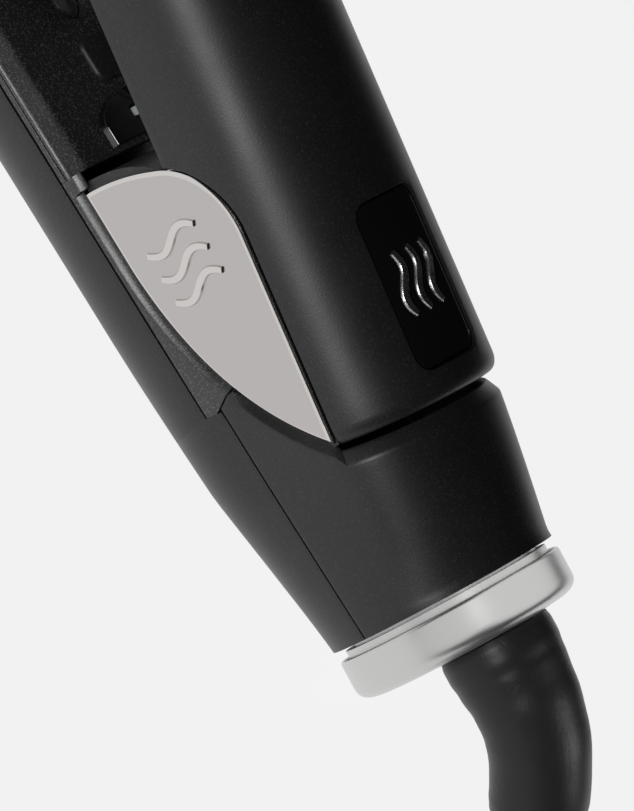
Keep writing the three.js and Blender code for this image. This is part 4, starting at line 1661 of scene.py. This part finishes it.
def dress(node: str, finish: Finish) -> None:
    """Lay a finish on a CAD node that keeps its own mesh.

    Args:
        node: The node.
        finish: Its finish.
    """
    mesh = frame["nodes"][node].data
    mesh.materials.clear()
    mesh.materials.append(finish.material())


@dataclass(frozen=True)
class Badge:
    """The gloss window in the upper arm's crown and the three silver waves on it. Sizes in mm."""

    arch: Arch = Arch()
    x: float = 13.4
    half_length: float = 10.7
    half_width: float = 5.8
    corner: float = 2.0
    sunk: float = 0.4
    relief: float = 0.3

    def outline(self, margin: float) -> list[Point]:
        """The window's outline.

        Args:
            margin: How far it is grown.

        Returns:
            Points (x, y).
        """
        reach = self.half_length + margin
        return rounded_box(
            self.x - reach, self.x + reach, self.half_width + margin, self.corner + max(0.0, margin)
        )

    def crown(self, y: float) -> float:
        """Height of the shell over the place y."""
        share = max(0.0, 1 - (abs(y) / self.arch.half) ** self.arch.power)
        return self.arch.spring + self.arch.rise * share ** (1 / self.arch.power)

    def opening(self) -> bpy.types.Object:
        """The shape cut through the shell for the window.

        Returns:
            The object.
        """
        piece = Piece("opening", GLOSS, None)
        piece.rings(
            [[UPPER.at(x, y, s) for x, y in self.outline(0.28)] for s in (18.0, 26.0)],
            round_=True,
            caps=True,
        )
        return piece.finish_mesh()

    def build(self) -> list[bpy.types.Object]:
        """Make the window and its emblem.

        Returns:
            The objects.
        """
        rim = self.outline(0.0)
        rows = []
        for share, drop in (
            (1.0, 2.0), (1.0, 0.2), (0.992, 0.08), (0.975, 0.0), (0.9, 0.0), (0.7, 0.0), (0.5, 0.0),
            (0.3, 0.0), (0.1, 0.0),
        ):
            ring = [(self.x + (x - self.x) * share, y * share) for x, y in rim]
            rows.append([UPPER.at(x, y, self.crown(y) - self.sunk - drop) for x, y in ring])
        window = Piece("badge_glass", GLOSS, Body.UPPER, ("badge_window",), "gloss_black")
        window.rings(rows, round_=True, caps=True)
        return [window.finish_mesh(angle=35), self._emblem()]

    def _emblem(self) -> bpy.types.Object:
        """Three waves that follow the window's curve.

        Returns:
            The object.
        """
        piece = Piece("badge_waves", EMBLEM, Body.UPPER, ("badge_emblem",), "emblem_metal")
        steps = 36
        for middle in (-2.7, 0.0, 2.7):
            line = [
                (self.x - 4.0 + 8.0 * i / steps, middle + 0.8 * math.sin(math.tau * i / steps))
                for i in range(steps + 1)
            ]
            rows = []
            for i, (x, y) in enumerate(line):
                a, b = line[max(0, i - 1)], line[min(steps, i + 1)]
                away = Vector((-(b[1] - a[1]), b[0] - a[0])).normalized()
                half = 0.62 * math.sin(math.pi * (0.1 + 0.8 * i / steps)) ** 0.35
                ring = []
                for across, up in (
                    (-1, -0.2), (-0.95, 0.6), (-0.75, 1.0), (0.75, 1.0), (0.95, 0.6), (1, -0.2)
                ):
                    px, py = x + away.x * half * across, y + away.y * half * across
                    ring.append(UPPER.at(px, py, self.crown(py) - self.sunk + self.relief * up))
                rows.append(ring)
            piece.rings(rows, round_=True, caps=True)
        return piece.finish_mesh(angle=40)


# CAD nodes whose own shape is kept, with rounded edges.
REFINED = (
    Refined("hinge_knuckle", ROUGH, 0.3),
    Refined("upper_hinge_frame", HEATPROOF, 0.2),
    Refined("hinge_pin", STEEL, 0.2),
    Refined("hinge_washer_left", STEEL, 0.1),
    Refined("hinge_washer_right", STEEL, 0.1),
    Refined("swivel_bush", HEATPROOF, 0.2),
    Refined("coil_tie", TIE, 0.3),
    Refined("upper_inner_shell", ROUGH, 0.3),
    Refined("lower_plate_holder", HEATPROOF, 0.3),
    Refined("upper_plate_holder", HEATPROOF, 0.3),
    Refined("lower_heating_plate", PLATE, 0.15),
    Refined("upper_heating_plate", PLATE, 0.15),
)
# CAD nodes of both arms that keep their own mesh.
DRESSED = {
    "heater": CERAMIC,
    "cushion_front": SILICONE,
    "cushion_rear": SILICONE,
    "screw_front": STEEL,
    "screw_rear": STEEL,
}
# Single CAD nodes that keep their own mesh.
DRESSED_ALONE = {"circuit_board": BOARD, "hinge_spring": STEEL, "cord_clamp": HEATPROOF}


def main() -> None:
    """Build the studio, the lead and then the iron, piece by piece."""
    logging.basicConfig(level=logging.INFO, format="%(name)s: %(message)s")
    studio = Studio()
    key = studio.build()
    carried = Plug().build()
    boot = Boot().build()
    Lead().build([*carried, boot, frame["nodes"]["coil_tie"]])
    lower, upper = Arm(LOWER), Arm(UPPER)
    badge = Badge()
    UpperShell(upper).build(badge.opening())
    badge.build()
    LowerShell(lower).build()
    Housing().build()
    upper.tip("upper_nose", Body.UPPER, "upper_tip")
    lower.tip("lower_nose", Body.LOWER, "lower_tip")
    Insert(-1, "side_insert_left").build()
    Insert(1, "side_insert_right").build()
    Strip(LOWER).build()
    Controls(LOWER).build()
    collar = Collar().build()
    for light in COLLAR_LIGHTS:
        light.shine_on(collar)
    BOOT_LIGHT.shine_on([boot])
    for item in REFINED:
        item.build()
    for arm in ("lower_", "upper_"):
        for part, finish in DRESSED.items():
            dress(arm + part, finish)
    for node, finish in DRESSED_ALONE.items():
        dress(node, finish)
    studio.key.shine_on([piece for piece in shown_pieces() if piece not in collar], key)


if __name__ == "__main__":
    main()
